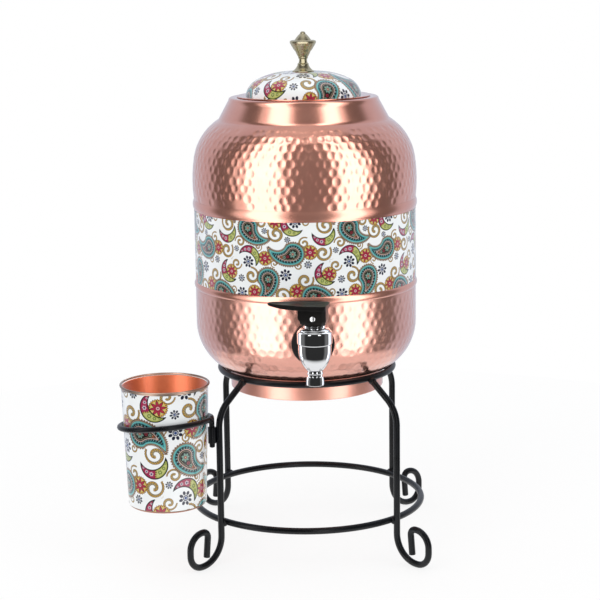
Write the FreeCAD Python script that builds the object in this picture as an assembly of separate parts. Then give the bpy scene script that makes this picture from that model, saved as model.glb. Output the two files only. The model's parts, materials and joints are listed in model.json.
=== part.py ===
"""Copper water dispenser on a wire stand, with a lever tap, a lid and a tumbler in a swing-out holder.

All sizes are in millimetres. The origin is on the floor, on the axis of the stand and the vessel.
+Z is up, and -Y is the front, where the tap is. The tap is turned a little to the right of the front.
"""
import FreeCAD, Part
import math
import os

V = FreeCAD.Vector
UP = V(0, 0, 1)
FRONT = V(0, -1, 0)
QUARTER_BOW = 1 - math.sqrt(0.5)

# General clearances and sheet metal
seat_gap = 0.3            # between pieces that rest on each other but can be parted
run_gap = 0.07            # radial, shafts that turn or slide
fit_gap = 0.2             # radial, bolts and tubes that pass through holes
same_point = 1e-6         # points closer than this are one
sheet = 1.0               # copper of the vessel
film = 0.3                # thickness of the printed layers

# Vessel
wall_r = 94.3             # outside radius of the straight wall
corner_r = 45.0           # bend from the wall into the base
base_z = 150.0            # underside of the base above the floor
bowl_h = 75.5             # base to the lower bead
drum_h = 75.5             # lower bead, print and upper bead together
low_bead_h = 5.9
high_bead_h = 9.0
bead_out = 1.2            # how far the beads stand out
shoulder_straight_h = 33.0
shoulder_swell = 1.05     # bow of the nearly straight part
shoulder_h = 33.6         # height of the round part up to the crease
shoulder_bow = 4.6
crease_r = 72.1           # where the neck begins
neck_r = 63.4             # neck just below its rounded top edge
neck_h = 18.4
neck_edge_r = 2.4
mouth_r = 50.0
foot_to_ring = 5.85       # from the stand's ring in to the skirt that the vessel stands on off its stand
foot_h = 12.0
foot_wall = 1.2

# Stand
rod_d = 5.5
top_ring_r = 74.2
bottom_ring_z = 35.7
leg_r = 104.25            # legs stand on the diagonals, this far from the axis
leg_degrees = {"front_right": -45, "back_right": 42, "back_left": 135, "front_left": -135}
leg_slope = 38.0          # degrees, the bend in to the top ring
leg_bend_r = 26.0
toe_out = 35.0            # how far the scrolled foot reaches beyond the leg
foot_bend_r = 22.0
toe_bend_r = 12.0
scroll_h = 29.5
scroll_bend_r = 13.5
scroll_in = 20.0          # top of the scroll runs back this far
curl_r = 5.0
scroll_end_h = 7.0        # the rod's end above the centre-line on the floor
scroll_end_in = 2.2
weld_r = 3.9
weld_h = 2.6              # length of the fillet weld along a leg

# Tumbler
tumbler_h = 103.3
tumbler_base_z = 53.2
tumbler_base_r = 32.7
tumbler_top_r = 36.1
tumbler_sheet = 0.9
tumbler_corner_r = 2.0
lip_r = 1.8

# Holder, one bent wire with a pin that turns in a socket on the leg
holder_rod_d = 4.6
holder_z = 122.6          # middle of the loop
holder_rise_x = 0.080     # slope of the loop to the right
holder_rise_y = -0.111    # slope of the loop to the back
holder_bend_r = 4.5
holder_side_step = 0.6    # pin outside the loop, so that the socket clears the tumbler
holder_gap = 0.35
loop_end_gap = 2.0
holder_weld_r = 3.0
pin_bottom_z = 101.7
socket_z = 105.5
socket_h = 13.7
socket_wall = 1.0
socket_turn = 192         # degrees, direction from the leg to the socket

# Tap
tap_turn = 2.9            # degrees to the right of the front
tap_reach = 7.5           # between the outer washer and the bonnet
tap_hole_up = 43.4        # above the base
spout_drop = 28.4         # spout's mouth below the tap's hole
spout_bore_r = 5.0
spout_bore_h = 12.0
throat_r = 4.5
throat_h = 5.2            # between the bore and the valve's seat
spout_collar_r = 7.3
spout_neck_r = 6.0
spout_neck_h = 11.4
egg_r = 13.2
egg_h = 16.8
tap_body_h = 33.2         # spout mouth to the bonnet
chamber_r = 7.8
shank_r = 7.9
shank_bore_r = 3.5
boss_r = 8.6
flange_r = 12.0
flange_t = 2.0
outer_washer_r = 16.5
outer_washer_t = 4.2
inner_washer_r = 14.0
inner_washer_t = 5.0
nut_across = 24.0
nut_t = 6.0
shank_past_nut = 4.0
bonnet_r = 14.0
bonnet_h = 15.8
bonnet_barrel_h = 8.5
bonnet_dome_h = 14.0
bonnet_edge = 1.4
bonnet_rim_r = 8.6
bonnet_roof = 7.0

# Valve and lever
stem_r = 3.2
stem_eye = 3.6
stem_collar_r = 6.2
stem_collar_t = 2.0
plug_r = 6.9
plug_h = 5.0
plug_nose_h = 2.8
plug_socket_h = 2.6
spring_wire = 0.9
spring_r = 5.4
spring_turns = 6
pin_r = 1.6
pin_up = 6.0              # pin above the bonnet's rim
rivet_head_r = 2.4
rivet_head_t = 0.9
cam_rate = 5.7            # millimetres of lift per radian of tilt
lever_tilt = 35.0         # degrees, the range of the lever
cam_past = 3.0            # degrees of cam beyond the range
lever_turn = -15.0        # degrees from pointing left, towards the vessel
hub_left = 10.4
hub_right = 8.8
hub_depth = 14.0
hub_edge = 2.2
hub_side_z = -0.7
blade_under = 6.5         # heights of the blade above the pin
blade_top = 10.0
blade_width = 20.0
blade_tip = 38.0
blade_tip_r = 5.0
blade_tip_under = 8.6
blade_under_bow = -0.9
blade_straight = 8.0
dish_depth = 1.2
dish_width = 16.0
dish_length = 41.0

# Lid and finial
lid_flange_r = 56.4
lid_sheet = 0.8
lid_foot_r = 48.6
lid_foot_bow = 2.3
lid_break_r = 37.6
lid_break_h = 13.7
lid_crown_bow = 2.0
lid_flat_r = 9.0
lid_crown_h = 5.4
skirt_gap = 0.5
skirt_h = 10.0
finial_base_r = 8.3
finial_base_t = 1.0
finial_neck_r = 3.4
finial_neck_h = 7.0       # the thin neck runs from here up to the cup
finial_cup_h = 12.0
finial_cup_edge_h = 21.8  # the cup widens less from here up to its rim
finial_cup_edge_r = 8.2
finial_rim_r = 10.2
finial_rim_h = 24.9
finial_rim_t = 1.2
finial_cap_r = 6.7        # pointed cap on the rim's flat top
finial_cap_step = 0.6
finial_h = 33.8
finial_tip_r = 1.0
screw_r = 2.0
screw_head_r = 3.6
screw_head_t = 2.5
screw_grip = 6.5
finial_washer_r = 6.0
finial_washer_t = 0.8

# Heights and radii that follow from the sizes above
rod_r = rod_d / 2
bowl_centre_r = wall_r - corner_r
bowl_centre_z = base_z + corner_r
drum_z = base_z + bowl_h
band_z = drum_z + low_bead_h
high_bead_z = drum_z + drum_h - high_bead_h
upper_z = drum_z + drum_h
crease_z = upper_z + shoulder_straight_h + shoulder_h
mouth_z = crease_z + neck_h
ring_reach = corner_r + rod_r + seat_gap
top_ring_z = bowl_centre_z - math.sqrt(ring_reach ** 2 - (top_ring_r - bowl_centre_r) ** 2)
bottom_ring_r = leg_r - rod_d
socket_r = holder_rod_d / 2 + run_gap + socket_wall
holder_leg = math.radians(leg_degrees["front_left"])
to_socket = math.radians(socket_turn)
HOOK = V(leg_r * math.cos(holder_leg) + (rod_r + socket_r) * math.cos(to_socket),
         leg_r * math.sin(holder_leg) + (rod_r + socket_r) * math.sin(to_socket), 0)
tap_hole_z = base_z + tap_hole_up
spout_z = tap_hole_z - spout_drop
seat_z = spout_z + spout_bore_h + throat_h
bonnet_z = spout_z + tap_body_h
rim_z = bonnet_z + bonnet_h
pin_z = rim_z + pin_up
plug_z = seat_z + seat_gap
collar_z = plug_z + plug_h + seat_gap
washer_face_y = wall_r + outer_washer_t
stem_out = washer_face_y + tap_reach + bonnet_r
foot_r = top_ring_r - rod_r - foot_to_ring
nut_face_y = wall_r - sheet - inner_washer_t
lid_z = mouth_z + seat_gap
lid_top_z = lid_z + lid_sheet + lid_break_h + lid_crown_h


def save(node, shape):
    """Write one sub-part and report its volume."""
    assert shape.isValid(), node
    shape.exportStep(f"parts/{node}.step")
    print(f"{node}: {len(shape.Solids)} solid, {shape.Volume:.1f} mm3")


def upright(a, b):
    """A point of the XZ plane."""
    return V(a, 0, b)


def level(a, b):
    """A point of the XY plane."""
    return V(a, b, 0)


def edges_through(start, *steps, plane=upright):
    """Edges from start: (a, b) is a straight run, (a, b, bow) an arc that bows to the right of its chord."""
    edges, here = [], start
    for step in steps:
        a, b = step[0], step[1]
        if len(step) == 2:
            edges.append(Part.makeLine(plane(*here), plane(a, b)))
        else:
            run_a, run_b = a - here[0], b - here[1]
            share = step[2] / math.hypot(run_a, run_b)
            middle = ((a + here[0]) / 2 + run_b * share, (b + here[1]) / 2 - run_a * share)
            edges.append(Part.Arc(plane(*here), plane(*middle), plane(a, b)).toShape())
        here = (a, b)
    return edges


def spin(face):
    """Turn a face in the XZ plane once around the Z axis."""
    return face.revolve(V(0, 0, 0), UP, 360)


def turned(start, *steps):
    """A solid of revolution from a closed outline of radius and height."""
    return spin(Part.Face(Part.Wire(edges_through(start, *steps, start))))


def spun(thickness, start, *steps):
    """Sheet metal of revolution: the outline is its outside, and the metal lies to the left of it."""
    outline = Part.Wire(edges_through(start, *steps))
    return spin(outline.makeOffset2D(thickness, 0, True, True))


def tube(outer, inner, z, height):
    """An upright tube around the Z axis."""
    return Part.makeCylinder(outer, height, V(0, 0, z)).cut(Part.makeCylinder(inner, height, V(0, 0, z)))


def straight(here, there):
    """A straight edge, or none where the two points are one."""
    return [Part.makeLine(here, there)] if here.distanceToPoint(there) > same_point else []


def filleted(points, radii):
    """A path of straight runs through the points, with a tangent arc of the given radius at each corner."""
    edges, here = [], points[0]
    for before, corner, after, radius in zip(points, points[1:], points[2:], radii):
        back = (before - corner).normalize()
        on = (after - corner).normalize()
        half = (math.pi - back.getAngle(on)) / 2
        enter = corner + back * radius * math.tan(half)
        leave = corner + on * radius * math.tan(half)
        middle_way = (back + on).normalize()
        middle = corner + middle_way * radius * (1 / math.cos(half) - 1)
        edges += straight(here, enter)
        edges.append(Part.Arc(enter, middle, leave).toShape())
        here = leave
    return edges + straight(here, points[-1])


def rod(edges, diameter):
    """A round rod along a path."""
    first = edges[0]
    start = first.valueAt(first.FirstParameter)
    along = first.tangentAt(first.FirstParameter)
    section = Part.Wire(Part.makeCircle(diameter / 2, start, along))
    return Part.Wire(edges).makePipeShell([section], True, False)


def turn_about_axis(shape, degrees):
    """A copy turned around the vessel's axis."""
    copy = shape.copy()
    copy.rotate(V(0, 0, 0), UP, degrees)
    return copy


def at_tap(shape):
    """Place a piece drawn straight at the front on the line of the tap."""
    return turn_about_axis(shape, tap_turn)


def on_stem(shape):
    """Place a piece drawn around the Z axis on the tap's stem."""
    copy = shape.copy()
    copy.translate(FRONT * stem_out)
    return at_tap(copy)


def on_lever(shape):
    """Place a piece drawn around the Z axis, with the lever pointing left, as the lever stands."""
    copy = shape.copy()
    copy.rotate(V(0, 0, 0), UP, lever_turn)
    return on_stem(copy)


def level_rod(radius, y_from, y_to, z):
    """A cylinder along Y between two distances in front of the vessel's axis."""
    return Part.makeCylinder(radius, abs(y_to - y_from), FRONT * min(y_from, y_to) + UP * z, FRONT)


# Vessel

def bowl_outline():
    """Outside of the lower bowl, from the middle of the base up."""
    return ((0, base_z), (bowl_centre_r, base_z),
            (wall_r, bowl_centre_z, QUARTER_BOW * corner_r), (wall_r, drum_z))


def bowl_block(inset):
    """The filled bowl, used to trim what lies against its wall. Inset by the sheet, it is the inside."""
    block = turned((0, base_z + inset), (bowl_centre_r, base_z + inset),
                   (wall_r - inset, bowl_centre_z, QUARTER_BOW * (corner_r - inset)),
                   (wall_r - inset, drum_z), (0, drum_z))
    return block


def lower_bowl():
    """Spun bowl with the hole for the tap."""
    hole = at_tap(level_rod(shank_r + fit_gap, washer_face_y, bowl_centre_r, tap_hole_z))
    return spun(sheet, *bowl_outline()).cut(hole)


def middle_drum():
    """Drum between bowl and shoulder, with a bead rolled at each end and the print's bed between them."""
    bed_r = wall_r - film
    return spun(sheet, (wall_r, drum_z), (bed_r, band_z, bead_out), (bed_r, high_bead_z),
                (wall_r, upper_z, bead_out))


def printed_band():
    """The print around the drum."""
    return tube(wall_r, wall_r - film, band_z, high_bead_z - band_z)


def upper_body():
    """Hammered shoulder, neck and the flat rim around the mouth."""
    straight_z = upper_z + shoulder_straight_h
    return spun(sheet, (wall_r, upper_z), (wall_r - shoulder_swell / 2, straight_z, shoulder_swell),
                (crease_r, crease_z, shoulder_bow), (neck_r, mouth_z - neck_edge_r),
                (neck_r - neck_edge_r, mouth_z, QUARTER_BOW * neck_edge_r), (mouth_r, mouth_z))


def foot_ring():
    """Skirt under the bowl, trimmed to the bowl's curve."""
    skirt = tube(foot_r, foot_r - foot_wall, base_z - foot_h, foot_h + corner_r / 2)
    return skirt.cut(bowl_block(0))


# Stand

def leg():
    """A leg in the XZ plane: it runs from the top ring out and down, and ends in a scrolled foot."""
    slope = math.radians(leg_slope)
    away = V(math.cos(slope), 0, -math.sin(slope))
    ring = V(top_ring_r, 0, top_ring_z)
    elbow = ring + away * ((leg_r - top_ring_r) / math.cos(slope))
    toe_r = leg_r + toe_out
    points = [ring + away * rod_r, elbow, V(leg_r, 0, rod_r), V(toe_r, 0, rod_r),
              V(toe_r, 0, rod_r + scroll_h), V(toe_r - scroll_in, 0, rod_r + scroll_h),
              V(toe_r - scroll_in + scroll_end_in, 0, rod_r + scroll_end_h)]
    return rod(filleted(points, [leg_bend_r, foot_bend_r, toe_bend_r, scroll_bend_r, curl_r]), rod_d)


def ring(radius, z):
    """A closed ring of rod."""
    return Part.makeTorus(radius, rod_r, V(0, 0, z))


def welds(bead, hoop):
    """Weld beads at the four legs, shaped to the rods they join. The bead is drawn at the leg of the XZ plane."""
    trimmed = bead.cut([hoop, leg()])
    largest = max(trimmed.Solids, key=lambda solid: solid.Volume)
    return Part.makeCompound([turn_about_axis(largest, angle) for angle in leg_degrees.values()])


def holder_socket():
    """Upright tube on the left of the front left leg."""
    socket = tube(socket_r, holder_rod_d / 2 + run_gap, socket_z, socket_h)
    socket.translate(HOOK)
    return socket


# Holder and tumbler

def tumbler_side_r(z):
    """Outside radius of the tumbler's print at a height above the floor."""
    share = (z - tumbler_base_z) / tumbler_h
    return tumbler_base_r + (tumbler_top_r - tumbler_base_r) * share


def holder_frame():
    """The loop's radius, centre, its directions to the right and to the back, and the bend's run."""
    normal = V(-holder_rise_x, -holder_rise_y, 1).normalize()
    right = V(1, 0, holder_rise_x).normalize()
    back = normal.cross(right)
    tilt = normal.getAngle(UP)
    rise = tumbler_side_r(holder_z) * math.sin(tilt)
    radius = (tumbler_side_r(holder_z + rise) + holder_rod_d / 2 + holder_gap) / math.cos(tilt)
    run_in = holder_bend_r * math.tan(UP.getAngle(back) / 2)
    centre = HOOK - right * (radius + holder_side_step) + back * run_in
    centre.z = holder_z
    return radius, centre, right, back, run_in


def holder_ring():
    """The wire: a pin with a round end, a bend, and a loop that comes round nearly to the pin."""
    radius, centre, right, back, run_in = holder_frame()
    bend = centre + right * (radius + holder_side_step) - back * run_in
    pin_end = V(bend.x, bend.y, pin_bottom_z + holder_rod_d / 2)
    out = (bend - centre).Length
    start = math.acos(radius / out) - math.atan2(run_in, radius + holder_side_step)
    stop = 2 * math.pi - math.asin((run_in + loop_end_gap) / radius)
    half_way = (start + stop) / 2

    def on_loop(angle):
        return centre + right * radius * math.cos(angle) + back * radius * math.sin(angle)

    edges = filleted([pin_end, bend, on_loop(start)], [holder_bend_r])
    edges += [Part.Arc(on_loop(start), on_loop((start + half_way) / 2), on_loop(half_way)).toShape(),
              Part.Arc(on_loop(half_way), on_loop((half_way + stop) / 2), on_loop(stop)).toShape()]
    return rod(edges, holder_rod_d).fuse(Part.makeSphere(holder_rod_d / 2, pin_end)).removeSplitter()


def holder_weld(wire):
    """Bead that joins the loop's free end to the bend."""
    radius, centre, right, back, run_in = holder_frame()
    spot = centre + right * (radius + holder_rod_d / 4) - back * (run_in + loop_end_gap / 2)
    return Part.makeSphere(holder_weld_r, spot - UP * (holder_rod_d / 4)).cut(wire)


def tumbler_cup():
    """Copper tumbler with a rolled lip."""
    base_r = tumbler_base_r - film
    top_r = tumbler_top_r - film
    lip_z = tumbler_base_z + tumbler_h - lip_r
    cup = spun(tumbler_sheet, (0, tumbler_base_z), (base_r - tumbler_corner_r, tumbler_base_z),
               (base_r, tumbler_base_z + tumbler_corner_r, QUARTER_BOW * tumbler_corner_r), (top_r, lip_z))
    lip = Part.makeTorus(tumbler_top_r - tumbler_sheet / 2, lip_r, V(0, 0, lip_z))
    cup = cup.fuse(lip)
    cup.translate(level(*tumbler_xy()))
    return cup


def tumbler_wrap():
    """The print around the tumbler, from its bottom corner to just under the lip."""
    low_z = tumbler_base_z + tumbler_corner_r
    high_z = tumbler_base_z + tumbler_h - 3 * lip_r
    share = film / math.cos(math.atan2(tumbler_top_r - tumbler_base_r, tumbler_h))
    low_r, high_r = tumbler_base_r - film, tumbler_top_r - film
    span = tumbler_h - lip_r - tumbler_corner_r
    cut_r = low_r + (high_r - low_r) * (high_z - low_z) / span
    wrap = turned((low_r, low_z), (low_r + share, low_z), (cut_r + share, high_z), (cut_r, high_z))
    wrap.translate(level(*tumbler_xy()))
    return wrap


def tumbler_xy():
    """The tumbler's axis is the loop's middle."""
    centre = holder_frame()[1]
    return centre.x, centre.y


# Tap

def tap_body():
    """Chromed body: egg and spout, boss and flange to the vessel, and the hollow shank through its wall."""
    neck_z = spout_z + spout_neck_h
    egg = turned((0, spout_z), (spout_collar_r - 0.5, spout_z), (spout_collar_r, spout_z + 0.6),
                 (spout_collar_r, spout_z + 3.6), (spout_neck_r + 0.7, neck_z - 4.4),
                 (spout_neck_r, neck_z - 3.4), (spout_neck_r, neck_z - 2.4),
                 (spout_neck_r + 0.6, neck_z - 1.4, 0.3), (spout_neck_r, neck_z),
                 (egg_r, neck_z + egg_h, 1.75), (egg_r, bonnet_z), (0, bonnet_z))
    egg.translate(FRONT * stem_out)
    boss_end = stem_out - (chamber_r + egg_r) / 2
    boss = level_rod(boss_r, washer_face_y, boss_end, tap_hole_z)
    bonnet_room = Part.makeCylinder(bonnet_r + seat_gap, bonnet_h, FRONT * stem_out + UP * bonnet_z)
    flange = level_rod(flange_r, washer_face_y, washer_face_y + flange_t, tap_hole_z)
    shank_end = nut_face_y - nut_t - shank_past_nut
    shank = level_rod(shank_r, shank_end, washer_face_y, tap_hole_z)
    chamber = Part.makeCylinder(chamber_r, bonnet_z - seat_z, FRONT * stem_out + UP * seat_z)
    outlet = Part.makeCylinder(spout_bore_r, spout_bore_h, FRONT * stem_out + UP * spout_z)
    throat = Part.makeCylinder(throat_r, throat_h, FRONT * stem_out + UP * (seat_z - throat_h))
    channel = level_rod(shank_bore_r, shank_end, stem_out, tap_hole_z)
    body = egg.fuse([boss.cut(bonnet_room), flange, shank])
    return at_tap(body.cut([chamber, outlet, throat, channel]).removeSplitter())


def tap_bonnet():
    """Screwed cap over the chamber, with the spring's room and the stem's bore."""
    barrel_z = bonnet_z + bonnet_barrel_h
    dome_z = bonnet_z + bonnet_dome_h
    bore_r = stem_r + run_gap
    return on_stem(turned((chamber_r, bonnet_z), (bonnet_r - bonnet_edge, bonnet_z),
                          (bonnet_r, bonnet_z + bonnet_edge, 0.4), (bonnet_r, barrel_z),
                          (bonnet_r - bonnet_edge, barrel_z + 2 * bonnet_edge, 0.5),
                          (bonnet_rim_r, dome_z, 0.6), (bonnet_rim_r, rim_z), (bore_r, rim_z),
                          (bore_r, rim_z - bonnet_roof), (chamber_r, rim_z - bonnet_roof)))


def outer_washer():
    """Thick rubber washer, moulded to the wall on its back."""
    disc = level_rod(outer_washer_r, washer_face_y, wall_r - corner_r / 2, tap_hole_z)
    bore = level_rod(shank_r + fit_gap, washer_face_y, wall_r - corner_r / 2, tap_hole_z)
    return at_tap(disc.cut(bore).cut(bowl_block(0)))


def inner_washer():
    """Rubber washer inside the wall, under the nut."""
    disc = level_rod(inner_washer_r, nut_face_y, wall_r, tap_hole_z)
    bore = level_rod(shank_r + fit_gap, nut_face_y, wall_r, tap_hole_z)
    return at_tap(disc.cut(bore).common(bowl_block(sheet)))


def lock_nut():
    """Hexagon nut that pulls the tap against the wall."""
    corner = nut_across / math.sqrt(3)
    corners = [V(corner * math.cos(math.radians(60 * k)), -nut_face_y, tap_hole_z
                 + corner * math.sin(math.radians(60 * k))) for k in range(7)]
    block = Part.Face(Part.makePolygon(corners)).extrude(V(0, nut_t, 0))
    return at_tap(block.cut(level_rod(shank_r + run_gap, nut_face_y - nut_t, nut_face_y, tap_hole_z)))


def valve_plug():
    """Rubber plug that closes the spout from above."""
    nose_r = throat_r - seat_gap
    top_z = plug_z + plug_h
    socket_r_here = stem_r + run_gap
    return on_stem(turned((0, plug_z - plug_nose_h), (nose_r - 1.2, plug_z - plug_nose_h),
                          (nose_r, plug_z), (plug_r, plug_z), (plug_r, top_z - 2),
                          (plug_r - 2, top_z), (socket_r_here, top_z),
                          (socket_r_here, top_z - plug_socket_h), (0, top_z - plug_socket_h)))


def valve_stem():
    """Stem with a collar for the spring and a rounded eye for the lever's pin."""
    foot_z = plug_z + plug_h - plug_socket_h + seat_gap
    stem = turned((0, foot_z), (stem_r, foot_z), (stem_r, collar_z), (stem_collar_r, collar_z),
                  (stem_collar_r, collar_z + stem_collar_t), (stem_r, collar_z + stem_collar_t),
                  (stem_r, pin_z + stem_eye), (0, pin_z + stem_eye))
    over_eye = Part.makeBox(4 * stem_r, 4 * stem_r, stem_eye, V(-2 * stem_r, -2 * stem_r, pin_z))
    eye = Part.makeCylinder(stem_eye, 4 * stem_r, V(0, 2 * stem_r, pin_z), FRONT)
    hole = Part.makeCylinder(pin_r + run_gap, 4 * stem_r, V(0, 2 * stem_r, pin_z), FRONT)
    return on_lever(stem.cut(over_eye.cut(eye)).cut(hole))


def valve_spring():
    """Coil between the stem's collar and the bonnet's roof."""
    low_z = collar_z + stem_collar_t + spring_wire / 2 + 0.05
    high_z = rim_z - bonnet_roof - spring_wire / 2 - 0.05
    height = high_z - low_z
    arcs = 4 * spring_turns

    def on_coil(quarter):
        turn = quarter * math.pi / 2
        return V(spring_r * math.cos(turn), spring_r * math.sin(turn), low_z + height * quarter / arcs)

    edges = [Part.Arc(on_coil(k), on_coil(k + 0.5), on_coil(k + 1)).toShape() for k in range(arcs)]
    return on_stem(rod(edges, spring_wire))


# Lever

def cam_edge():
    """Left part of the hub's sole. Its distance to the pin grows evenly with the tilt."""
    rest = pin_up - seat_gap
    steps = 6
    points = []
    for k in range(steps + 1):
        angle = math.radians(lever_tilt + cam_past) * k / steps
        reach = rest + cam_rate * angle
        points.append(V(-reach * math.sin(angle) - cam_rate * math.cos(angle), 0,
                        -reach * math.cos(angle) + cam_rate * math.sin(angle)))
    curve = Part.BSplineCurve()
    curve.interpolate(points)
    return curve.toShape(), points[0], points[-1]


def hub():
    """Block that straddles the stem, drawn with the pin's axis through the origin."""
    cam, sole, end = cam_edge()
    rest_of_it = edges_through((end.x, end.z), (min(end.x, -hub_left), hub_side_z), (-hub_left, blade_top),
                               (hub_right, blade_top), (hub_right, sole.z), (sole.x, sole.z))
    block = Part.Face(Part.Wire([cam] + rest_of_it)).extrude(V(0, hub_depth, 0))
    block.translate(V(0, -hub_depth / 2, 0))
    half = hub_depth / 2
    edge = edges_through((-2 * hub_left, -half), (hub_right - hub_edge, -half), (hub_right, hub_edge - half),
                         (hub_right, half - hub_edge), (hub_right - hub_edge, half), (-2 * hub_left, half),
                         (-2 * hub_left, -half), plane=level)
    plan = Part.Face(Part.Wire(edge)).extrude(V(0, 0, 4 * blade_top))
    plan.translate(V(0, 0, -2 * blade_top))
    return block.common(plan)


def blade():
    """Spoon of the lever: its plan outline and its side outline, cut to each other."""
    half = blade_width / 2
    right = hub_right + 0.6
    tip_x = -blade_tip + blade_tip_r
    plan = edges_through((right - 3, -half), (right, 3 - half, QUARTER_BOW * 3), (right, half - 3),
                         (right - 3, half, QUARTER_BOW * 3), (-blade_straight, half),
                         (tip_x, blade_tip_r, 1.2), (tip_x, -blade_tip_r, blade_tip_r),
                         (-blade_straight, -half, 1.2), (right - 3, -half), plane=level)
    top = Part.Face(Part.Wire(plan)).extrude(V(0, 0, 2 * blade_top))
    side = edges_through((right, blade_under), (right, blade_top), (-blade_tip, blade_top),
                         (-blade_tip, blade_tip_under), (-hub_left, blade_under, -blade_under_bow),
                         (right, blade_under))
    slab = Part.Face(Part.Wire(side)).extrude(V(0, blade_width, 0))
    slab.translate(V(0, -half, 0))
    return slab.common(top)


def dish():
    """Long shallow hollow in the top of the blade."""
    axis_up = dish_width ** 2 / (8 * dish_depth) - dish_depth / 2
    middle_x = (hub_right - blade_tip) / 2
    sag = dish_depth + axis_up
    long_bow = dish_depth
    low = blade_top + axis_up - sag
    near = low + long_bow
    half = dish_length / 2
    edges = edges_through((middle_x - half, near), (middle_x + half, near, long_bow),
                          (middle_x + half, blade_top + axis_up), (middle_x - half, blade_top + axis_up),
                          (middle_x - half, near))
    axis_point = V(0, 0, blade_top + axis_up)
    return Part.Face(Part.Wire(edges)).revolve(axis_point, V(1, 0, 0), 360)


def stem_slot():
    """Room for the stem in the hub over the whole tilt."""
    width = 2 * (stem_r + seat_gap)
    deep = pin_up + cam_rate
    slot = Part.makeCylinder(stem_eye + seat_gap + 0.1, width, V(0, width / 2, 0), FRONT)
    pieces = []
    for share in (0, 0.5, 1):
        piece = Part.makeBox(width, width, deep, V(-width / 2, -width / 2, -deep))
        piece.rotate(V(0, 0, 0), V(0, 1, 0), lever_tilt * share)
        pieces.append(piece)
    return slot.fuse(pieces)


def lever_handle():
    """Black lever: hub, blade, hollow, stem slot and the pin's hole."""
    hole = Part.makeCylinder(pin_r, 2 * blade_width, V(0, blade_width, 0), FRONT)
    lever = hub().fuse(blade()).cut(dish()).cut(stem_slot()).cut(hole).removeSplitter()
    lever.translate(V(0, 0, pin_z))
    return on_lever(lever)


def lever_pin():
    """Rivet through the hub and the stem's eye."""
    half = hub_depth / 2
    shaft = Part.makeCylinder(pin_r, hub_depth, V(0, half, 0), FRONT)
    heads = [Part.makeCylinder(rivet_head_r, rivet_head_t, V(0, -half, 0), FRONT),
             Part.makeCylinder(rivet_head_r, rivet_head_t, V(0, half + rivet_head_t, 0), FRONT)]
    rivet = shaft.fuse(heads).removeSplitter()
    rivet.translate(V(0, 0, pin_z))
    return on_lever(rivet)


# Lid

def dome_steps():
    """The dome's outside from the top of its flange to the flat under the finial."""
    foot = (lid_foot_r, lid_z + lid_sheet)
    breast = (lid_break_r, lid_z + lid_sheet + lid_break_h, lid_foot_bow)
    crown = (lid_flat_r, lid_top_z, lid_crown_bow)
    return foot, breast, crown


def lid_dome():
    """Pressed copper dome with its flange."""
    foot, breast, crown = dome_steps()
    return spun(lid_sheet, (lid_flange_r, foot[1]), foot, breast, crown, (screw_r + fit_gap, lid_top_z))


def lid_print():
    """The print on the dome."""
    foot, breast, crown = dome_steps()
    outline = Part.Wire(edges_through(foot, breast, crown))
    return spin(outline.makeOffset2D(-film, 0, True, True))


def lid_skirt():
    """Ring under the flange that centres the lid in the mouth."""
    outer = mouth_r - skirt_gap
    return tube(outer, outer - lid_sheet, lid_z - skirt_h, skirt_h)


def finial():
    """Turned brass knob: base, waist, flared cup with a sharp rim, and a pointed top."""
    z = lid_top_z
    top = z + finial_h
    rim_z = z + finial_rim_h
    flat_z = rim_z + finial_rim_t
    hole_z = z + screw_grip + finial_base_t
    return turned((screw_r, z), (finial_base_r, z), (finial_base_r, z + finial_base_t),
                  (finial_neck_r, z + finial_neck_h, -1.1), (finial_neck_r, z + finial_cup_h, -0.1),
                  (finial_cup_edge_r, z + finial_cup_edge_h, 0.2), (finial_rim_r, rim_z, -0.2),
                  (finial_rim_r, rim_z + finial_rim_t / 2), (finial_rim_r - finial_rim_t / 2, flat_z, 0.1),
                  (finial_cap_r, flat_z), (finial_cap_r, flat_z + finial_cap_step),
                  (finial_tip_r, top - finial_tip_r / 2, 0.5), (finial_tip_r / 2, top), (0, top),
                  (0, hole_z), (screw_r, hole_z))


def finial_washer():
    """Washer under the dome's flat."""
    roof = lid_top_z - lid_sheet
    return tube(finial_washer_r, screw_r + fit_gap, roof - finial_washer_t, finial_washer_t)


def finial_screw():
    """Screw from inside the lid up into the finial."""
    head_top = lid_top_z - lid_sheet - finial_washer_t
    return turned((0, head_top - screw_head_t), (screw_head_r - 0.6, head_top - screw_head_t),
                  (screw_head_r, head_top - screw_head_t + 0.6), (screw_head_r, head_top),
                  (screw_r, head_top), (screw_r, lid_top_z + screw_grip), (0, lid_top_z + screw_grip))


def build_stand():
    """Rings, legs, their welds and the holder's socket."""
    top, bottom = ring(top_ring_r, top_ring_z), ring(bottom_ring_r, bottom_ring_z)
    legs = {name: turn_about_axis(leg(), angle) for name, angle in leg_degrees.items()}
    save("top_ring", top)
    save("bottom_ring", bottom)
    for name, one in legs.items():
        save(f"leg_{name}", one)
    slope = math.radians(leg_slope)
    away = V(math.cos(slope), 0, -math.sin(slope))
    foot = V(top_ring_r, 0, top_ring_z) + away * (rod_r - weld_h / 2)
    save("top_welds", welds(Part.makeCone(weld_r, rod_r, 2 * weld_h, foot, away), top))
    save("bottom_welds", welds(Part.makeSphere(weld_r, V(leg_r - rod_r, 0, bottom_ring_z)), bottom))
    save("holder_socket", holder_socket())


def build_vessel():
    """Body of the vessel and the fixed pieces of the tap."""
    for piece in (lower_bowl, middle_drum, printed_band, upper_body, foot_ring,
                  tap_body, tap_bonnet, outer_washer, inner_washer, lock_nut):
        save(piece.__name__, piece())


def build_moving_pieces():
    """Valve, stem, lever, lid, holder and tumbler."""
    for piece in (valve_plug, valve_spring, valve_stem, lever_handle, lever_pin,
                  lid_dome, lid_print, lid_skirt, finial, finial_washer, finial_screw,
                  tumbler_cup, tumbler_wrap):
        save(piece.__name__, piece())
    wire = holder_ring()
    save("holder_ring", wire)
    save("holder_weld", holder_weld(wire))


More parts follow.
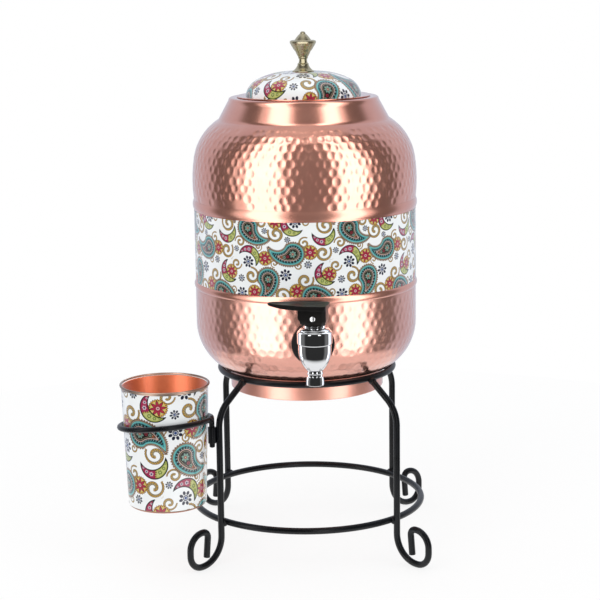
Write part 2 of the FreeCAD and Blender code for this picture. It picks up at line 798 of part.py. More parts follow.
os.makedirs("parts", exist_ok=True)
build_stand()
build_vessel()
build_moving_pieces()
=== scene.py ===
"""Looks of the copper water dispenser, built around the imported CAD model.

Every size is in millimetres and meshes are written in metres. The origin is on the floor, on the axis
of the stand and the vessel. +Z is up, and -Y is the front, where the tap is.
"""
import json
import logging
import math
from dataclasses import dataclass, field, replace
from enum import Enum
from typing import Callable, Iterable, Sequence

import bmesh
import bpy
import numpy as np
from mathutils import Matrix

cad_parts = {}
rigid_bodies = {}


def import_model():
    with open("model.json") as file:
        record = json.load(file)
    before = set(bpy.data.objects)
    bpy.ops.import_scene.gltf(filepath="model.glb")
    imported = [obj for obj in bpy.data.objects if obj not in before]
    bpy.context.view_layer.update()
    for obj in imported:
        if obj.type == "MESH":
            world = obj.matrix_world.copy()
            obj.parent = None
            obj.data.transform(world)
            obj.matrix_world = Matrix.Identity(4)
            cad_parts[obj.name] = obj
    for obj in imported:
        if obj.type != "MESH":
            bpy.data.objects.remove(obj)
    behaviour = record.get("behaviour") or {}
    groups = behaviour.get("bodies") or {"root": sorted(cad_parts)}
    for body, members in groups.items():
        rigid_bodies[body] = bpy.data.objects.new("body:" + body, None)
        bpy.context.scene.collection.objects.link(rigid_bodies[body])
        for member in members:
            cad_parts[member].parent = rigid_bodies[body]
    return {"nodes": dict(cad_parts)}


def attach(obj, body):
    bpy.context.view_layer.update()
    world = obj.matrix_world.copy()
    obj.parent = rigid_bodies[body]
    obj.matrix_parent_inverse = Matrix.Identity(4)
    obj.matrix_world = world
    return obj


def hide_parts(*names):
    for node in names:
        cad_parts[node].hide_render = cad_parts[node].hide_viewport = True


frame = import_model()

LOG = logging.getLogger("dispenser")
MM = 0.001
TAU = 2 * math.pi
MERGE = 2e-6              # metres, points closer than this become one
CREASE = math.radians(35)     # edges sharper than this stay sharp
QUARTER_BOW = 1 - math.sqrt(0.5)     # bow of a quarter circle, as a share of its radius
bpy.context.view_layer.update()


class Body(Enum):
    """CAD bodies that the pieces ride on."""

    STAND = "stand"
    VESSEL = "vessel"
    LEVER = "lever"
    LID = "lid"
    HOLDER = "holder"
    TUMBLER = "tumbler"


class Look(Enum):
    """Finishes of pieces that look different from the rest of their slot."""

    # The low bowl: a paler, pinker copy of the hammered copper, painted light for the floor's reflection
    BOWL = "bowl"
    FOOT = "foot"
    # The tumbler's copper, with painted bounce light inside and a painted dull reflection on its outside
    # and lip
    CUP_PAINTED_LIGHT = "cup"


class Slot(Enum):
    """Material slots of the record."""

    IRON = "black_iron"
    HAMMERED = "hammered_copper"
    COPPER = "smooth_copper"
    PRINT = "paisley_print"
    CHROME = "chrome_plate"
    RUBBER = "black_rubber"
    STEEL = "plain_steel"
    BRASS = "turned_brass"
    PLASTIC = "black_plastic"


# Surfaces

@dataclass
class Surface:
    """A mesh as arrays: points (n, 3) in millimetres, and blocks of faces with equal corner counts."""

    points: np.ndarray
    faces: list[np.ndarray]

    def __add__(self, other: "Surface") -> "Surface":
        """Both surfaces in one mesh.

        Args:
            other: the surface whose points and faces come after this one's.

        Returns:
            One surface with the points and faces of both.
        """
        shift = len(self.points)
        return Surface(np.vstack([self.points, other.points]),
                       self.faces + [block + shift for block in other.faces])

    def moved(self, x: float = 0, y: float = 0, z: float = 0) -> "Surface":
        """A copy shifted along the axes."""
        return Surface(self.points + np.array([x, y, z]), self.faces)

    def turned(self, degrees: float) -> "Surface":
        """A copy turned around the Z axis."""
        c, s = math.cos(math.radians(degrees)), math.sin(math.radians(degrees))
        return Surface(self.points @ np.array([[c, s, 0], [-s, c, 0], [0, 0, 1]]), self.faces)

    def laid_forward(self) -> "Surface":
        """A copy whose +Z axis points to the front, -Y, and whose +Y axis points up."""
        return Surface(self.points[:, [0, 2, 1]] * np.array([1, -1, 1]), self.faces)


def grid(points: np.ndarray, close_columns: bool = False) -> Surface:
    """Quads between neighbouring points of a (rows, columns, 3) array.

    Args:
        points: the grid's points.
        close_columns: True joins the last column to the first.

    Returns:
        The surface.
    """
    rows, columns = points.shape[:2]
    i = np.arange(rows - 1)[:, None]
    j = np.arange(columns if close_columns else columns - 1)[None, :]
    right = (j + 1) % columns
    quads = np.stack([i * columns + j, i * columns + right, (i + 1) * columns + right,
                      (i + 1) * columns + j], -1)
    return Surface(points.reshape(-1, 3), [quads.reshape(-1, 4)])


def outline(start: Sequence[float], *steps: Sequence[float], spacing: float = math.inf) -> np.ndarray:
    """Points along an outline of radius and height.

    A step (a, b) is a straight run. A step (a, b, bow) is an arc of a circle: with chord c and bow h,
    its half angle is 2 atan(2 h / c), and it lies h to the right of the chord at the middle.

    Args:
        start: first point.
        steps: the runs and arcs.
        spacing: largest distance between neighbouring points. Arcs have at least a point each 10 degrees.

    Returns:
        Array (n, 2).
    """
    runs, here = [np.array([start], float)], np.array(start, float)
    for step in steps:
        there = np.array(step[:2], float)
        chord = there - here
        length = float(np.hypot(*chord))
        count = max(1, math.ceil(length / spacing))
        if len(step) == 3 and length > 0:
            half = 2 * math.atan(2 * step[2] / length)
            count = max(count, math.ceil(abs(half) / math.radians(5)))
            angle = np.linspace(-half, half, count + 1)[1:]
            radius = length / 2 / math.sin(half)
            along = radius * np.sin(angle)
            out = radius * (np.cos(angle) - math.cos(half))
            ahead = chord / length
            right = np.array([ahead[1], -ahead[0]])
            runs.append((here + there) / 2 + along[:, None] * ahead + out[:, None] * right)
        else:
            runs.append(here + chord * (np.arange(1, count + 1) / count)[:, None])
        here = there
    return np.vstack(runs)


def run_length(profile: np.ndarray) -> np.ndarray:
    """Distance along a profile from its first point."""
    return np.concatenate([[0], np.cumsum(np.hypot(*np.diff(profile, axis=0).T))])


def lathe(profile: np.ndarray, columns: int = 96, relief: np.ndarray | None = None) -> Surface:
    """A profile of radius and height carried around the Z axis.

    Args:
        profile: array (n, 2). It starts and ends on the axis, or ends where it starts.
        columns: points around.
        relief: how far each point moves along the normal, array (n, columns).

    Returns:
        The closed surface.
    """
    theta = np.arange(columns) * TAU / columns
    radius, height = profile[:, :1], profile[:, 1:]
    if relief is not None:
        slope = np.gradient(profile, axis=0)
        slope /= np.maximum(np.hypot(*slope.T), 1e-9)[:, None]
        radius = radius + slope[:, 1:] * relief
        height = height - slope[:, :1] * relief
    points = np.stack([radius * np.cos(theta), radius * np.sin(theta), height + 0 * theta], -1)
    return grid(points, close_columns=True)


def torus(major: float, minor: float, z: float, columns: int = 160, sides: int = 20) -> Surface:
    """A ring of round rod: at angle a around the axis, a circle of the minor radius."""
    turn = np.linspace(0, TAU, sides + 1)
    return lathe(np.stack([major + minor * np.cos(turn), z + minor * np.sin(turn)], -1), columns)


def straight(here: np.ndarray, there: np.ndarray, spacing: float) -> np.ndarray:
    """Evenly spaced points after the first on a straight run."""
    count = max(1, round(float(np.linalg.norm(there - here)) / spacing))
    return here + (there - here) * (np.arange(1, count + 1) / count)[:, None]


def bent(corners: Sequence[Sequence[float]], radii: Sequence[float], spacing: float = 2.0) -> np.ndarray:
    """A path of straight runs with a tangent arc of the given radius at each corner.

    The arc's points are its centre plus the radius times a direction that turns evenly from the one to
    the first tangent point to the one to the second.

    Args:
        corners: points (x, y, z).
        radii: one radius for each inner corner.
        spacing: distance between neighbouring points.

    Returns:
        Array (n, 3).
    """
    points = [np.array(corner, float) for corner in corners]
    path = [points[0][None]]
    for before, corner, after, radius in zip(points, points[1:], points[2:], radii):
        back = (before - corner) / np.linalg.norm(before - corner)
        on = (after - corner) / np.linalg.norm(after - corner)
        half = (math.pi - math.acos(float(np.clip(back @ on, -1, 1)))) / 2
        enter = corner + back * radius * math.tan(half)
        leave = corner + on * radius * math.tan(half)
        middle = (back + on) / np.linalg.norm(back + on)
        centre = corner + middle * radius / math.cos(half)
        path.append(straight(path[-1][-1], enter, spacing))
        count = max(4, round(2 * half * radius / spacing))
        share = (np.arange(1, count + 1) / count)[:, None]
        first = np.sin((1 - share) * 2 * half) * (enter - centre)
        last = np.sin(share * 2 * half) * (leave - centre)
        path.append(centre + (first + last) / math.sin(2 * half))
    path.append(straight(path[-1][-1], points[-1], spacing))
    whole = np.vstack(path)
    apart = np.linalg.norm(np.diff(whole, axis=0), axis=1) > 1e-3
    return whole[np.concatenate([[True], apart])]


def unit(vectors: np.ndarray) -> np.ndarray:
    """Vectors scaled to length one."""
    return vectors / np.linalg.norm(vectors, axis=-1, keepdims=True)


def rod(path: np.ndarray, side: np.ndarray, radius: float, end_round: float = 0.6,
        sides: int = 20) -> Surface:
    """A round rod along a path, with flat ends and a rounded edge.

    At each point, the circle lies in the plane of the side vector, taken square to the path, and the
    cross product of the two.

    Args:
        path: array (n, 3).
        side: a vector, or one for each point, never along the path.
        radius: the rod's radius.
        end_round: width of the rounded edge.
        sides: points around.

    Returns:
        The closed surface.
    """
    along = unit(np.gradient(path, axis=0))
    side = np.broadcast_to(side, path.shape)
    across = unit(side - (side * along).sum(1, keepdims=True) * along)
    third = np.cross(along, across)
    # Four rings close each end: the middle, the flat's edge and two on the rounding
    inset = np.array([0, 0, 0.3, 1]) * end_round
    shrink = np.array([radius, end_round, 0.3 * end_round, 0])
    centres = np.vstack([path[0] + inset[:, None] * along[0], path[1:-1],
                         path[-1] - inset[::-1, None] * along[-1]])
    radii = np.concatenate([radius - shrink, np.full(len(path) - 2, radius), radius - shrink[::-1]])
    keep = np.concatenate([np.zeros(4, int), np.arange(1, len(path) - 1), np.full(4, len(path) - 1)])
    turn = (np.arange(sides) * TAU / sides)[None, :, None]
    ring = np.cos(turn) * across[keep][:, None] + np.sin(turn) * third[keep][:, None]
    return grid(centres[:, None] + radii[:, None, None] * ring, close_columns=True)


def bead(centre: Sequence[float], radii: Sequence[float], lumps: float, seed: int,
         columns: int = 28) -> Surface:
    """A lumpy weld bead: an ellipsoid whose radius swells and shrinks with a few slow waves.

    Args:
        centre: its middle.
        radii: along x, y and z.
        lumps: height of the waves as a share of the radius.
        seed: shifts the waves, so that no two beads are alike.
        columns: points around.

    Returns:
        The closed surface.
    """
    polar = np.linspace(0, math.pi, columns // 2 + 1)[:, None]
    turn = (np.arange(columns) * TAU / columns)[None, :]
    wide = np.sin(polar)
    swell = np.sin(3 * turn + seed) * wide + np.cos(4 * polar + 2 * seed)
    ball = np.stack([wide * np.cos(turn), wide * np.sin(turn), np.cos(polar) + 0 * turn], -1)
    wave = (1 + lumps * swell * wide)[..., None]
    return grid(ball * wave * np.array(radii) + np.array(centre), close_columns=True)


# Pieces

def mesh_object(name: str, surface: Surface, fields: dict[str, np.ndarray] | None = None
                ) -> bpy.types.Object:
    """Put a surface into a mesh with merged points, outward faces and smooth shading.

    Args:
        name: the object's name.
        surface: the points and faces.
        fields: vectors for each point, kept as attributes for the material.

    Returns:
        The object, linked to the scene.
    """
    mesh = bpy.data.meshes.new(name)
    mesh.from_pydata((surface.points * MM).tolist(), [], sum((b.tolist() for b in surface.faces), []))
    for key, vectors in (fields or {}).items():
        layer = mesh.attributes.new(key, "FLOAT_VECTOR", "POINT")
        layer.data.foreach_set("vector", vectors.astype(np.float32).ravel())
    work = bmesh.new()
    work.from_mesh(mesh)
    bmesh.ops.remove_doubles(work, verts=work.verts, dist=MERGE)
    bmesh.ops.recalc_face_normals(work, faces=work.faces)
    work.to_mesh(mesh)
    work.free()
    mesh.shade_smooth()
    mesh.set_sharp_from_angle(angle=CREASE)
    item = bpy.data.objects.new(name, mesh)
    bpy.context.scene.collection.objects.link(item)
    return item


def finish_piece(item: bpy.types.Object, body: Body, material: bpy.types.Material,
                 replaces: Iterable[str] = ()) -> bpy.types.Object:
    """Give a piece its material, its body and the CAD nodes that it stands for.

    Args:
        item: the piece.
        body: the body it rides on.
        material: its finish.
        replaces: names of the CAD nodes.

    Returns:
        The same piece.
    """
    item.data.materials.clear()
    item.data.materials.append(material)
    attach(item, body.value)
    if replaces:
        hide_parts(*replaces)
    LOG.info("%s: %d points on %s", item.name, len(item.data.vertices), body.value)
    return item




# Materials

@dataclass(frozen=True)
class Value:
    """A shader value that takes part in sums, and builds the maths nodes for them."""

    graph: "Graph"
    socket: bpy.types.NodeSocket

    def _with(self, operation: str, *others: object) -> "Value":
        """A maths node on this value and others."""
        return self.graph.math(operation, self, *others)

    def __add__(self, other: object) -> "Value":
        """Sum."""
        return self._with("ADD", other)

    def __radd__(self, other: object) -> "Value":
        """Sum, with the value on the right."""
        return self._with("ADD", other)

    def __sub__(self, other: object) -> "Value":
        """Difference."""
        return self._with("SUBTRACT", other)

    def __rsub__(self, other: object) -> "Value":
        """Difference, with the value on the right."""
        return self.graph.math("SUBTRACT", other, self)

    def __mul__(self, other: object) -> "Value":
        """Product."""
        return self._with("MULTIPLY", other)

    def __rmul__(self, other: object) -> "Value":
        """Product, with the value on the right."""
        return self._with("MULTIPLY", other)

    def __truediv__(self, other: object) -> "Value":
        """Quotient."""
        return self._with("DIVIDE", other)

    def __rtruediv__(self, other: object) -> "Value":
        """Quotient, with the value on the right."""
        return self.graph.math("DIVIDE", other, self)

    def __neg__(self) -> "Value":
        """This value with its sign turned."""
        return self._with("MULTIPLY", -1.0)

    def sine(self) -> "Value":
        """The sine of this value."""
        return self._with("SINE")

    def cosine(self) -> "Value":
        """The cosine of this value."""
        return self._with("COSINE")

    def size(self) -> "Value":
        """This value without its sign."""
        return self._with("ABSOLUTE")

    def least(self, other: object) -> "Value":
        """The smaller of two values."""
        return self._with("MINIMUM", other)

    def most(self, other: object) -> "Value":
        """The larger of two values."""
        return self._with("MAXIMUM", other)

    def step_up(self, start: float, stop: float) -> "Value":
        """0 below start, 1 above stop and smooth between. With start above stop it falls instead."""
        return self.graph.smooth(self, start, stop)


@dataclass
class Graph:
    """A node tree with one way to add nodes."""

    tree: bpy.types.NodeTree

    def node(self, kind: str, settings: dict[str, object] | None = None,
             inputs: dict[object, object] | None = None) -> bpy.types.Node:
        """Add a node.

        Args:
            kind: the node's type, without ShaderNode.
            settings: attribute values.
            inputs: values, sockets or Value objects by input name or number.

        Returns:
            The node.
        """
        made = self.tree.nodes.new("ShaderNode" + kind)
        for key, value in (settings or {}).items():
            setattr(made, key, value)
        for key, value in (inputs or {}).items():
            source = value.socket if isinstance(value, Value) else value
            if isinstance(source, bpy.types.NodeSocket):
                self.tree.links.new(source, made.inputs[key])
            else:
                made.inputs[key].default_value = source
        return made

    def math(self, operation: str, *values: object) -> Value:
        """A maths node."""
        made = self.node("Math", {"operation": operation}, dict(enumerate(values)))
        return Value(self, made.outputs[0])

    def smooth(self, value: object, start: float, stop: float) -> Value:
        """0 at start, 1 at stop, with a smooth run between.

        Args:
            value: what runs.
            start: where the result is 0.
            stop: where the result is 1.

        Returns:
            The result.
        """
        low, high, out = (start, stop, (0.0, 1.0)) if start < stop else (stop, start, (1.0, 0.0))
        made = self.node("MapRange", {"interpolation_type": "SMOOTHSTEP"},
                         {0: value, 1: low, 2: high, 3: out[0], 4: out[1]})
        return Value(self, made.outputs[0])

    def mix(self, factor: object, below: object, above: object) -> Value:
        """Two colours mixed: below at 0 and above at 1."""
        made = self.node("Mix", {"data_type": "RGBA"}, {0: factor, 6: rgba(below), 7: rgba(above)})
        return Value(self, made.outputs[2])

    def position(self) -> Value:
        """Object coordinates in metres."""
        return Value(self, self.node("TexCoord").outputs["Object"])

    def attribute(self, name: str) -> tuple[Value, Value, Value]:
        """The three numbers of a mesh attribute."""
        return self.split(Value(self, self.node("Attribute", {"attribute_name": name}).outputs["Vector"]))

    def split(self, vector: Value) -> tuple[Value, Value, Value]:
        """The x, y and z of a vector."""
        made = self.node("SeparateXYZ", None, {0: vector})
        return tuple(Value(self, out) for out in made.outputs)

    def stretch(self, vector: Value, x: float, y: float, z: float) -> Value:
        """A vector scaled along its axes."""
        made = self.node("Mapping", None, {0: vector, 3: (x, y, z)})
        return Value(self, made.outputs[0])

    def noise(self, vector: Value, scale: float, detail: float = 3.0, roughness: float = 0.5) -> Value:
        """Noise from 0 to 1.

        Args:
            vector: the place at which it is read.
            scale: waves for each metre.
            detail: number of finer layers.
            roughness: share of each finer layer.

        Returns:
            The noise.
        """
        made = self.node("TexNoise", None, {"Vector": vector, "Scale": scale, "Detail": detail,
                                            "Roughness": roughness})
        return Value(self, made.outputs[0])

    def bump(self, height: object, depth: float) -> Value:
        """A normal from a height from 0 to 1, for a depth in millimetres."""
        made = self.node("Bump", None, {"Height": height, "Distance": depth * MM, "Strength": 1.0})
        return Value(self, made.outputs[0])


def rgba(colour: object) -> object:
    """A colour with its fourth number, or the Value as it is."""
    return colour if isinstance(colour, Value) else (*colour, 1)


def shader(inputs: dict[str, object], graph: Graph, material: bpy.types.Material
           ) -> bpy.types.Material:
    """End a material with a Principled shader.

    Args:
        inputs: values or Value objects by the name of the socket.
        graph: the material's node tree.
        material: the material.

    Returns:
        The same material.
    """
    made = graph.node("BsdfPrincipled", None, {key: rgba(value) if key == "Base Color" else value
                                               for key, value in inputs.items()})
    out = graph.node("OutputMaterial")
    graph.tree.links.new(made.outputs[0], out.inputs[0])
    return material


def blank(name: str) -> tuple[bpy.types.Material, Graph]:
    """A new material with an empty node tree.

    Args:
        name: the material's name.

    Returns:
        The material and its node tree.
    """
    material = bpy.data.materials.new(name)
    material.use_nodes = True
    material.node_tree.nodes.clear()
    return material, Graph(material.node_tree)


@dataclass(frozen=True)
class MetalFinish:
    """A bare or plated metal. Depths are in millimetres."""

    colour: tuple[float, float, float]
    stain: tuple[float, float, float]
    roughness: float
    spread: float             # how far the roughness wanders
    grain: float              # waves of the fine relief for each metre
    grain_depth: float
    spun: float = 0           # depth of the lines that run around the Z axis
    lacquer: float = 0
    marks: float = 0          # depth of the hammer marks' rims, which the mesh is too coarse to show
    lacquer_roughness: float = 0.14
    smoothest: float = 0.02

    def relief(self, g: Graph, place: Value, fine: Value) -> Value:
        """Height of the grain, the spun lines and the rims of the hammer marks.

        Args:
            g: the material's node tree.
            place: where the point lies.
            fine: the grain, from 0 to 1.

        Returns:
            The height in millimetres.
        """
        height = fine * self.grain_depth
        if self.spun:
            height = height + g.noise(g.stretch(place, 3, 3, 1500), 1.0, 3, 0.7) * self.spun
        if self.marks:
            across, up, reach = g.attribute("mark")
            rim = (across * across + up * up).most(reach - 0.06)
            height = height + rim.least(1.0) * self.marks
        return height

    def dressed(self, g: Graph, place: Value, colour: Value, rough: Value) -> tuple[Value, object, Value]:
        """Colour, metal and roughness. A finish that differs by place changes them here."""
        return colour, 1.0, rough

    def material(self, name: str) -> bpy.types.Material:
        """Build the material.

        Args:
            name: the material's name.

        Returns:
            The material.
        """
        made, g = blank(name)
        place = g.position()
        broad = g.noise(place, 34, 4)
        fine = g.noise(place, self.grain, 4, 0.6)
        rough = self.roughness + (broad - 0.5) * self.spread + (fine - 0.5) * (self.spread * 0.6)
        tint = g.mix(broad.step_up(0.38, 0.72), self.colour, self.stain)
        colour, metal, rough = self.dressed(g, place, tint, rough)
        return shader({"Base Color": colour, "Metallic": metal, "Roughness": rough.most(self.smoothest),
                       "Coat Weight": self.lacquer, "Coat Roughness": self.lacquer_roughness,
                       "Normal": g.bump(self.relief(g, place, fine), 1.0)}, g, made)


@dataclass(frozen=True)
class PaintFinish:
    """Paint, plastic or rubber. Depths are in millimetres."""

    colour: tuple[float, float, float]
    worn: tuple[float, float, float]
    roughness: float
    grain: float              # waves of the fine relief for each metre
    grain_depth: float
    gloss: float = 0.5        # level of the mirror reflection, where 0.5 is plain plastic

    def material(self, name: str) -> bpy.types.Material:
        """Build the material.

        Args:
            name: the material's name.

        Returns:
            The material.
        """
        made, g = blank(name)
        place = g.position()
        broad = g.noise(place, 55, 4)
        fine = g.noise(place, self.grain, 5, 0.6)
        rough = self.roughness + (broad - 0.5) * 0.16 + (fine - 0.5) * 0.14
        return shader({"Base Color": g.mix(broad.step_up(0.35, 0.75), self.colour, self.worn),
                       "Roughness": rough, "Normal": g.bump(fine, self.grain_depth),
                       "Specular IOR Level": self.gloss}, g, made)




# Print: a paisley of teardrops, crescents, suns, daisies and beaded scrolls on a repeating tile

TILE_W, TILE_H = 74.06, 62.0
INK_DEPTH = 0.66          # share of light that a full ink leaves of its colour


class Ink(Enum):
    """Colours of the print, as numbers up to 255."""

    BRONZE = 120, 92, 46
    SAND = 210, 192, 138
    UMBER = 124, 86, 30
    GOLD = 236, 186, 74
    TAUPE = 128, 108, 84
    MIDNIGHT = 10, 22, 64
    NAVY = 16, 30, 76
    FROST = 236, 242, 250
    BLUE = 30, 78, 160
    RUST = 104, 52, 20
    AMBER = 255, 200, 76
    BRICK = 120, 44, 24
    YELLOW = 255, 232, 132
    WINE = 104, 8, 34
    CERISE = 214, 28, 76
    CLARET = 126, 14, 44
    BLUSH = 252, 206, 206
    PLUM = 150, 16, 66
    SOOT = 12, 22, 30
    MOSS = 192, 204, 88
    LIME = 230, 234, 140
    MAGENTA = 196, 28, 92
    SLATE = 24, 34, 44
    HONEY = 246, 206, 90
    ROSE = 252, 226, 236
    INDIGO = 44, 40, 110
    LEAF = 120, 150, 40
    CELERY = 226, 232, 150
    TAN = 176, 132, 84
    COFFEE = 46, 28, 24
    PEACH = 232, 186, 146
    PINE = 8, 38, 50
    AQUA = 130, 220, 214
    TEAL = 56, 172, 180
    NIGHT = 6, 12, 24
    MIST = 150, 210, 206
    SALMON = 246, 206, 192
    BLACK = 8, 4, 8
    BONE = 206, 190, 150
    SAGE = 142, 190, 172
    RED = 190, 36, 60
    CREAM = 250, 220, 170
    ORANGE = 226, 120, 60
    STRAW = 214, 196, 150
    EBONY = 18, 8, 14
    WHITE = 247, 249, 249
    CHALK = 241, 244, 244


def drop_shape(p: np.ndarray, q: np.ndarray) -> tuple[np.ndarray, np.ndarray, np.ndarray]:
    """Teardrop with its head at the origin and a tail that curls to the left of +p.

    It is a disc and a smaller disc with straight tangents between, bent around a circle.

    Args:
        p: place along the motif.
        q: place across it.

    Returns:
        Place along and across the curled axis, and the distance to the edge, which is below 0 inside.
    """
    curl, head, tip, length = 12.0, 8.2, 0.6, 21.0
    on = p > 0
    along = np.where(on, curl * np.arctan2(p, curl - q), p)
    across = np.where(on, curl - np.hypot(p, curl - q), q)
    lean = (head - tip) / length
    flank = math.sqrt(1 - lean * lean)
    wide = np.abs(across)
    place = along * flank - wide * lean
    edge = wide * flank + along * lean - head
    distance = np.where(place < 0, np.hypot(along, wide) - head,
                        np.where(place > flank * length, np.hypot(along - length, wide) - tip, edge))
    return along, across, distance


def crescent_shape(p: np.ndarray, q: np.ndarray) -> tuple[np.ndarray, np.ndarray, np.ndarray]:
    """Moon that opens towards +q: a disc, less a smaller disc whose middle is moved along +q."""
    return p, q, np.maximum(np.hypot(p, q) - 7.6, 7.2 - np.hypot(p, q - 4.9))


def round_shape(radius: float) -> Callable[[np.ndarray, np.ndarray], tuple[np.ndarray, ...]]:
    """Shape of a disc: the distance to its edge is that to its middle, less the radius."""
    return lambda p, q: (p, q, np.hypot(p, q) - radius)


class Kind(Enum):
    """Motifs of the print."""

    DROP = "drop"
    CRESCENT = "crescent"
    SCROLL = "scroll"
    SUN = "sun"
    DAISY = "daisy"


SHAPES = {Kind.DROP: drop_shape, Kind.CRESCENT: crescent_shape, Kind.SCROLL: round_shape(7.8),
          Kind.SUN: round_shape(5.9), Kind.DAISY: round_shape(4.6)}
# Least gaps between two kinds in millimetres. Below 0 the one may reach under the other.
GAPS = {
    (Kind.DROP, Kind.DROP): 1.6,
    (Kind.CRESCENT, Kind.DROP): 0.9, (Kind.CRESCENT, Kind.CRESCENT): 4,
    (Kind.SCROLL, Kind.DROP): -2.4, (Kind.SCROLL, Kind.CRESCENT): -2.2,
    (Kind.SCROLL, Kind.SUN): -3.0, (Kind.SCROLL, Kind.DAISY): -0.8,
    (Kind.SUN, Kind.DROP): -1.8, (Kind.SUN, Kind.CRESCENT): -1.6, (Kind.SUN, Kind.SCROLL): -4.5,
    (Kind.SUN, Kind.SUN): 3,
    (Kind.DAISY, Kind.DROP): 0.4, (Kind.DAISY, Kind.SCROLL): -1.4, (Kind.DAISY, Kind.DAISY): 2,
}
# Kind, number and size of the motifs that are laid in one round
ROUNDS = ((Kind.DROP, 4, 1.0), (Kind.CRESCENT, 4, 1.12), (Kind.SCROLL, 6, 0.92), (Kind.SUN, 6, 0.95),
          (Kind.DAISY, 4, 0.95), (Kind.SCROLL, 5, 0.66), (Kind.DAISY, 5, 0.62), (Kind.SCROLL, 6, 0.45),
          (Kind.DAISY, 3, 0.5))


@dataclass(frozen=True)
class Motif:
    """One motif on the tile."""

    kind: Kind
    x: float
    y: float
    degrees: float
    size: float
    mirrored: bool

    def fit(self, u: np.ndarray, v: np.ndarray) -> tuple[np.ndarray, np.ndarray, np.ndarray]:
        """Where points of the print lie in the motif, in units of its size.

        The offset from the nearest of its repeats is turned back by its degrees and divided by its size.

        Args:
            u: place along the tile's width.
            v: place along the tile's height.

        Returns:
            Place along and across it, and the distance to its edge, which is below 0 inside.
        """
        right = (u - self.x + TILE_W / 2) % TILE_W - TILE_W / 2
        up = (v - self.y + TILE_H / 2) % TILE_H - TILE_H / 2
        c, s = math.cos(math.radians(self.degrees)), math.sin(math.radians(self.degrees))
        across = (right * -s + up * c) / self.size
        return SHAPES[self.kind]((right * c + up * s) / self.size, -across if self.mirrored else across)

    def away(self, other: "Motif") -> float:
        """Distance between the middles of two motifs, by the nearest of their repeats."""
        return math.hypot((self.x - other.x + TILE_W / 2) % TILE_W - TILE_W / 2,
                          (self.y - other.y + TILE_H / 2) % TILE_H - TILE_H / 2)

    def settled(self) -> "Motif":
        """The same motif with its place in tenths of a millimetre and its turn in whole degrees."""
        return replace(self, x=round(self.x, 1), y=round(self.y, 1), degrees=round(self.degrees))


@dataclass
class Paisley:
    """The print's tile: each motif stands at the best of many random places.

    A place counts where the motif keeps its least gap to each kind laid before. Drops look for an even
    gap and the rest for a narrow one, and all of them for a place far from their own kind.
    """

    seed: int = 11
    tries: int = 700
    spacing: float = 0.6      # of the points at which gaps are measured
    least_gap: float = 0.3    # between kinds that GAPS doesn't name
    even_gap: float = 1.2     # around a drop
    spread: float = 0.05      # what a millimetre away from its own kind is worth in gap
    motifs: dict[Kind, list[Motif]] = field(default_factory=dict)
    edges: dict[Kind, np.ndarray] = field(default_factory=dict)

    def __post_init__(self) -> None:
        """Lay the motifs round by round. A round ends early where no place is left."""
        source = np.random.default_rng(self.seed)
        for kind, count, size in ROUNDS:
            for _ in range(count):
                if not self.lay(kind, size, source):
                    break

    def lay(self, kind: Kind, size: float, source: np.random.Generator) -> bool:
        """Lay a motif at the best of the random places.

        Args:
            kind: the motif's kind.
            size: its size.
            source: gives the random places.

        Returns:
            True if there was a place for it.
        """
        best, lowest = None, math.inf
        for _ in range(self.tries):
            motif = Motif(kind, source.uniform(0, TILE_W), source.uniform(0, TILE_H),
                          source.uniform(0, 360), size, bool(source.integers(2)))
            # A look at few of the points rules out most places
            if self.gap(motif, 5) < 0 or (gap := self.gap(motif)) < 0:
                continue
            score = self.score(motif, gap)
            if score < lowest:
                best, lowest = motif, score
        if best is None:
            return False
        self.motifs.setdefault(kind, []).append(best.settled())
        self.edges[kind] = np.minimum(self.edges.get(kind, 99.0), self.edge(best))
        return True

    def edge(self, motif: Motif, every: int = 1) -> np.ndarray:
        """Distance in millimetres from the tile's points to the motif's edge.

        Args:
            motif: the motif at its place.
            every: 1 takes all points, and 5 every fifth both ways.

        Returns:
            The distances, below 0 inside.
        """
        u = np.arange(0, TILE_W, self.spacing)[None, ::every]
        v = np.arange(0, TILE_H, self.spacing)[::every, None]
        return motif.fit(u, v)[2] * motif.size

    def gap(self, motif: Motif, every: int = 1) -> float:
        """How much more room a motif has than it needs, measured at the tile's points.

        Args:
            motif: the motif at its place.
            every: 1 takes all points, and 5 every fifth both ways.

        Returns:
            The least of the gaps to the kinds laid before, less what each asks for.
        """
        edge = self.edge(motif, every)
        return min((float((edge + laid[::every, ::every]).min())
                    - GAPS.get((motif.kind, other), self.least_gap)
                    for other, laid in self.edges.items()), default=20.0)

    def score(self, motif: Motif, gap: float) -> float:
        """How little a place suits a motif.

        Args:
            motif: the motif at its place.
            gap: how much more room it has than it needs.

        Returns:
            The score, lowest for the best place.
        """
        far = min((motif.away(other) for other in self.motifs.get(motif.kind, [])), default=30.0)
        if motif.kind is Kind.DROP:
            return abs(gap - self.even_gap) - self.spread * far
        return gap - self.spread * min(far, 25.0)

    def fields(self, u: np.ndarray, v: np.ndarray) -> dict[str, np.ndarray]:
        """Where each point of a printed surface lies in the nearest motif of each kind.

        Args:
            u: place along the tile's width.
            v: place along the tile's height.

        Returns:
            For each kind an array (n, 3): place along and across the motif and distance to its edge.
        """
        found = {}
        for kind, motifs in self.motifs.items():
            best = np.full((*u.shape, 3), 99.0)
            for motif in motifs:
                here = np.stack(motif.fit(u, v), -1)
                best = np.where(here[..., 2:] < best[..., 2:], here, best)
            found[kind.value] = best.reshape(-1, 3)
        return found


def srgb(ink: Ink) -> tuple[float, float, float]:
    """The ink's colour as amounts of light."""
    return tuple(((c / 255 + 0.055) / 1.055) ** 2.4 if c > 10 else c / 3294 for c in ink.value)


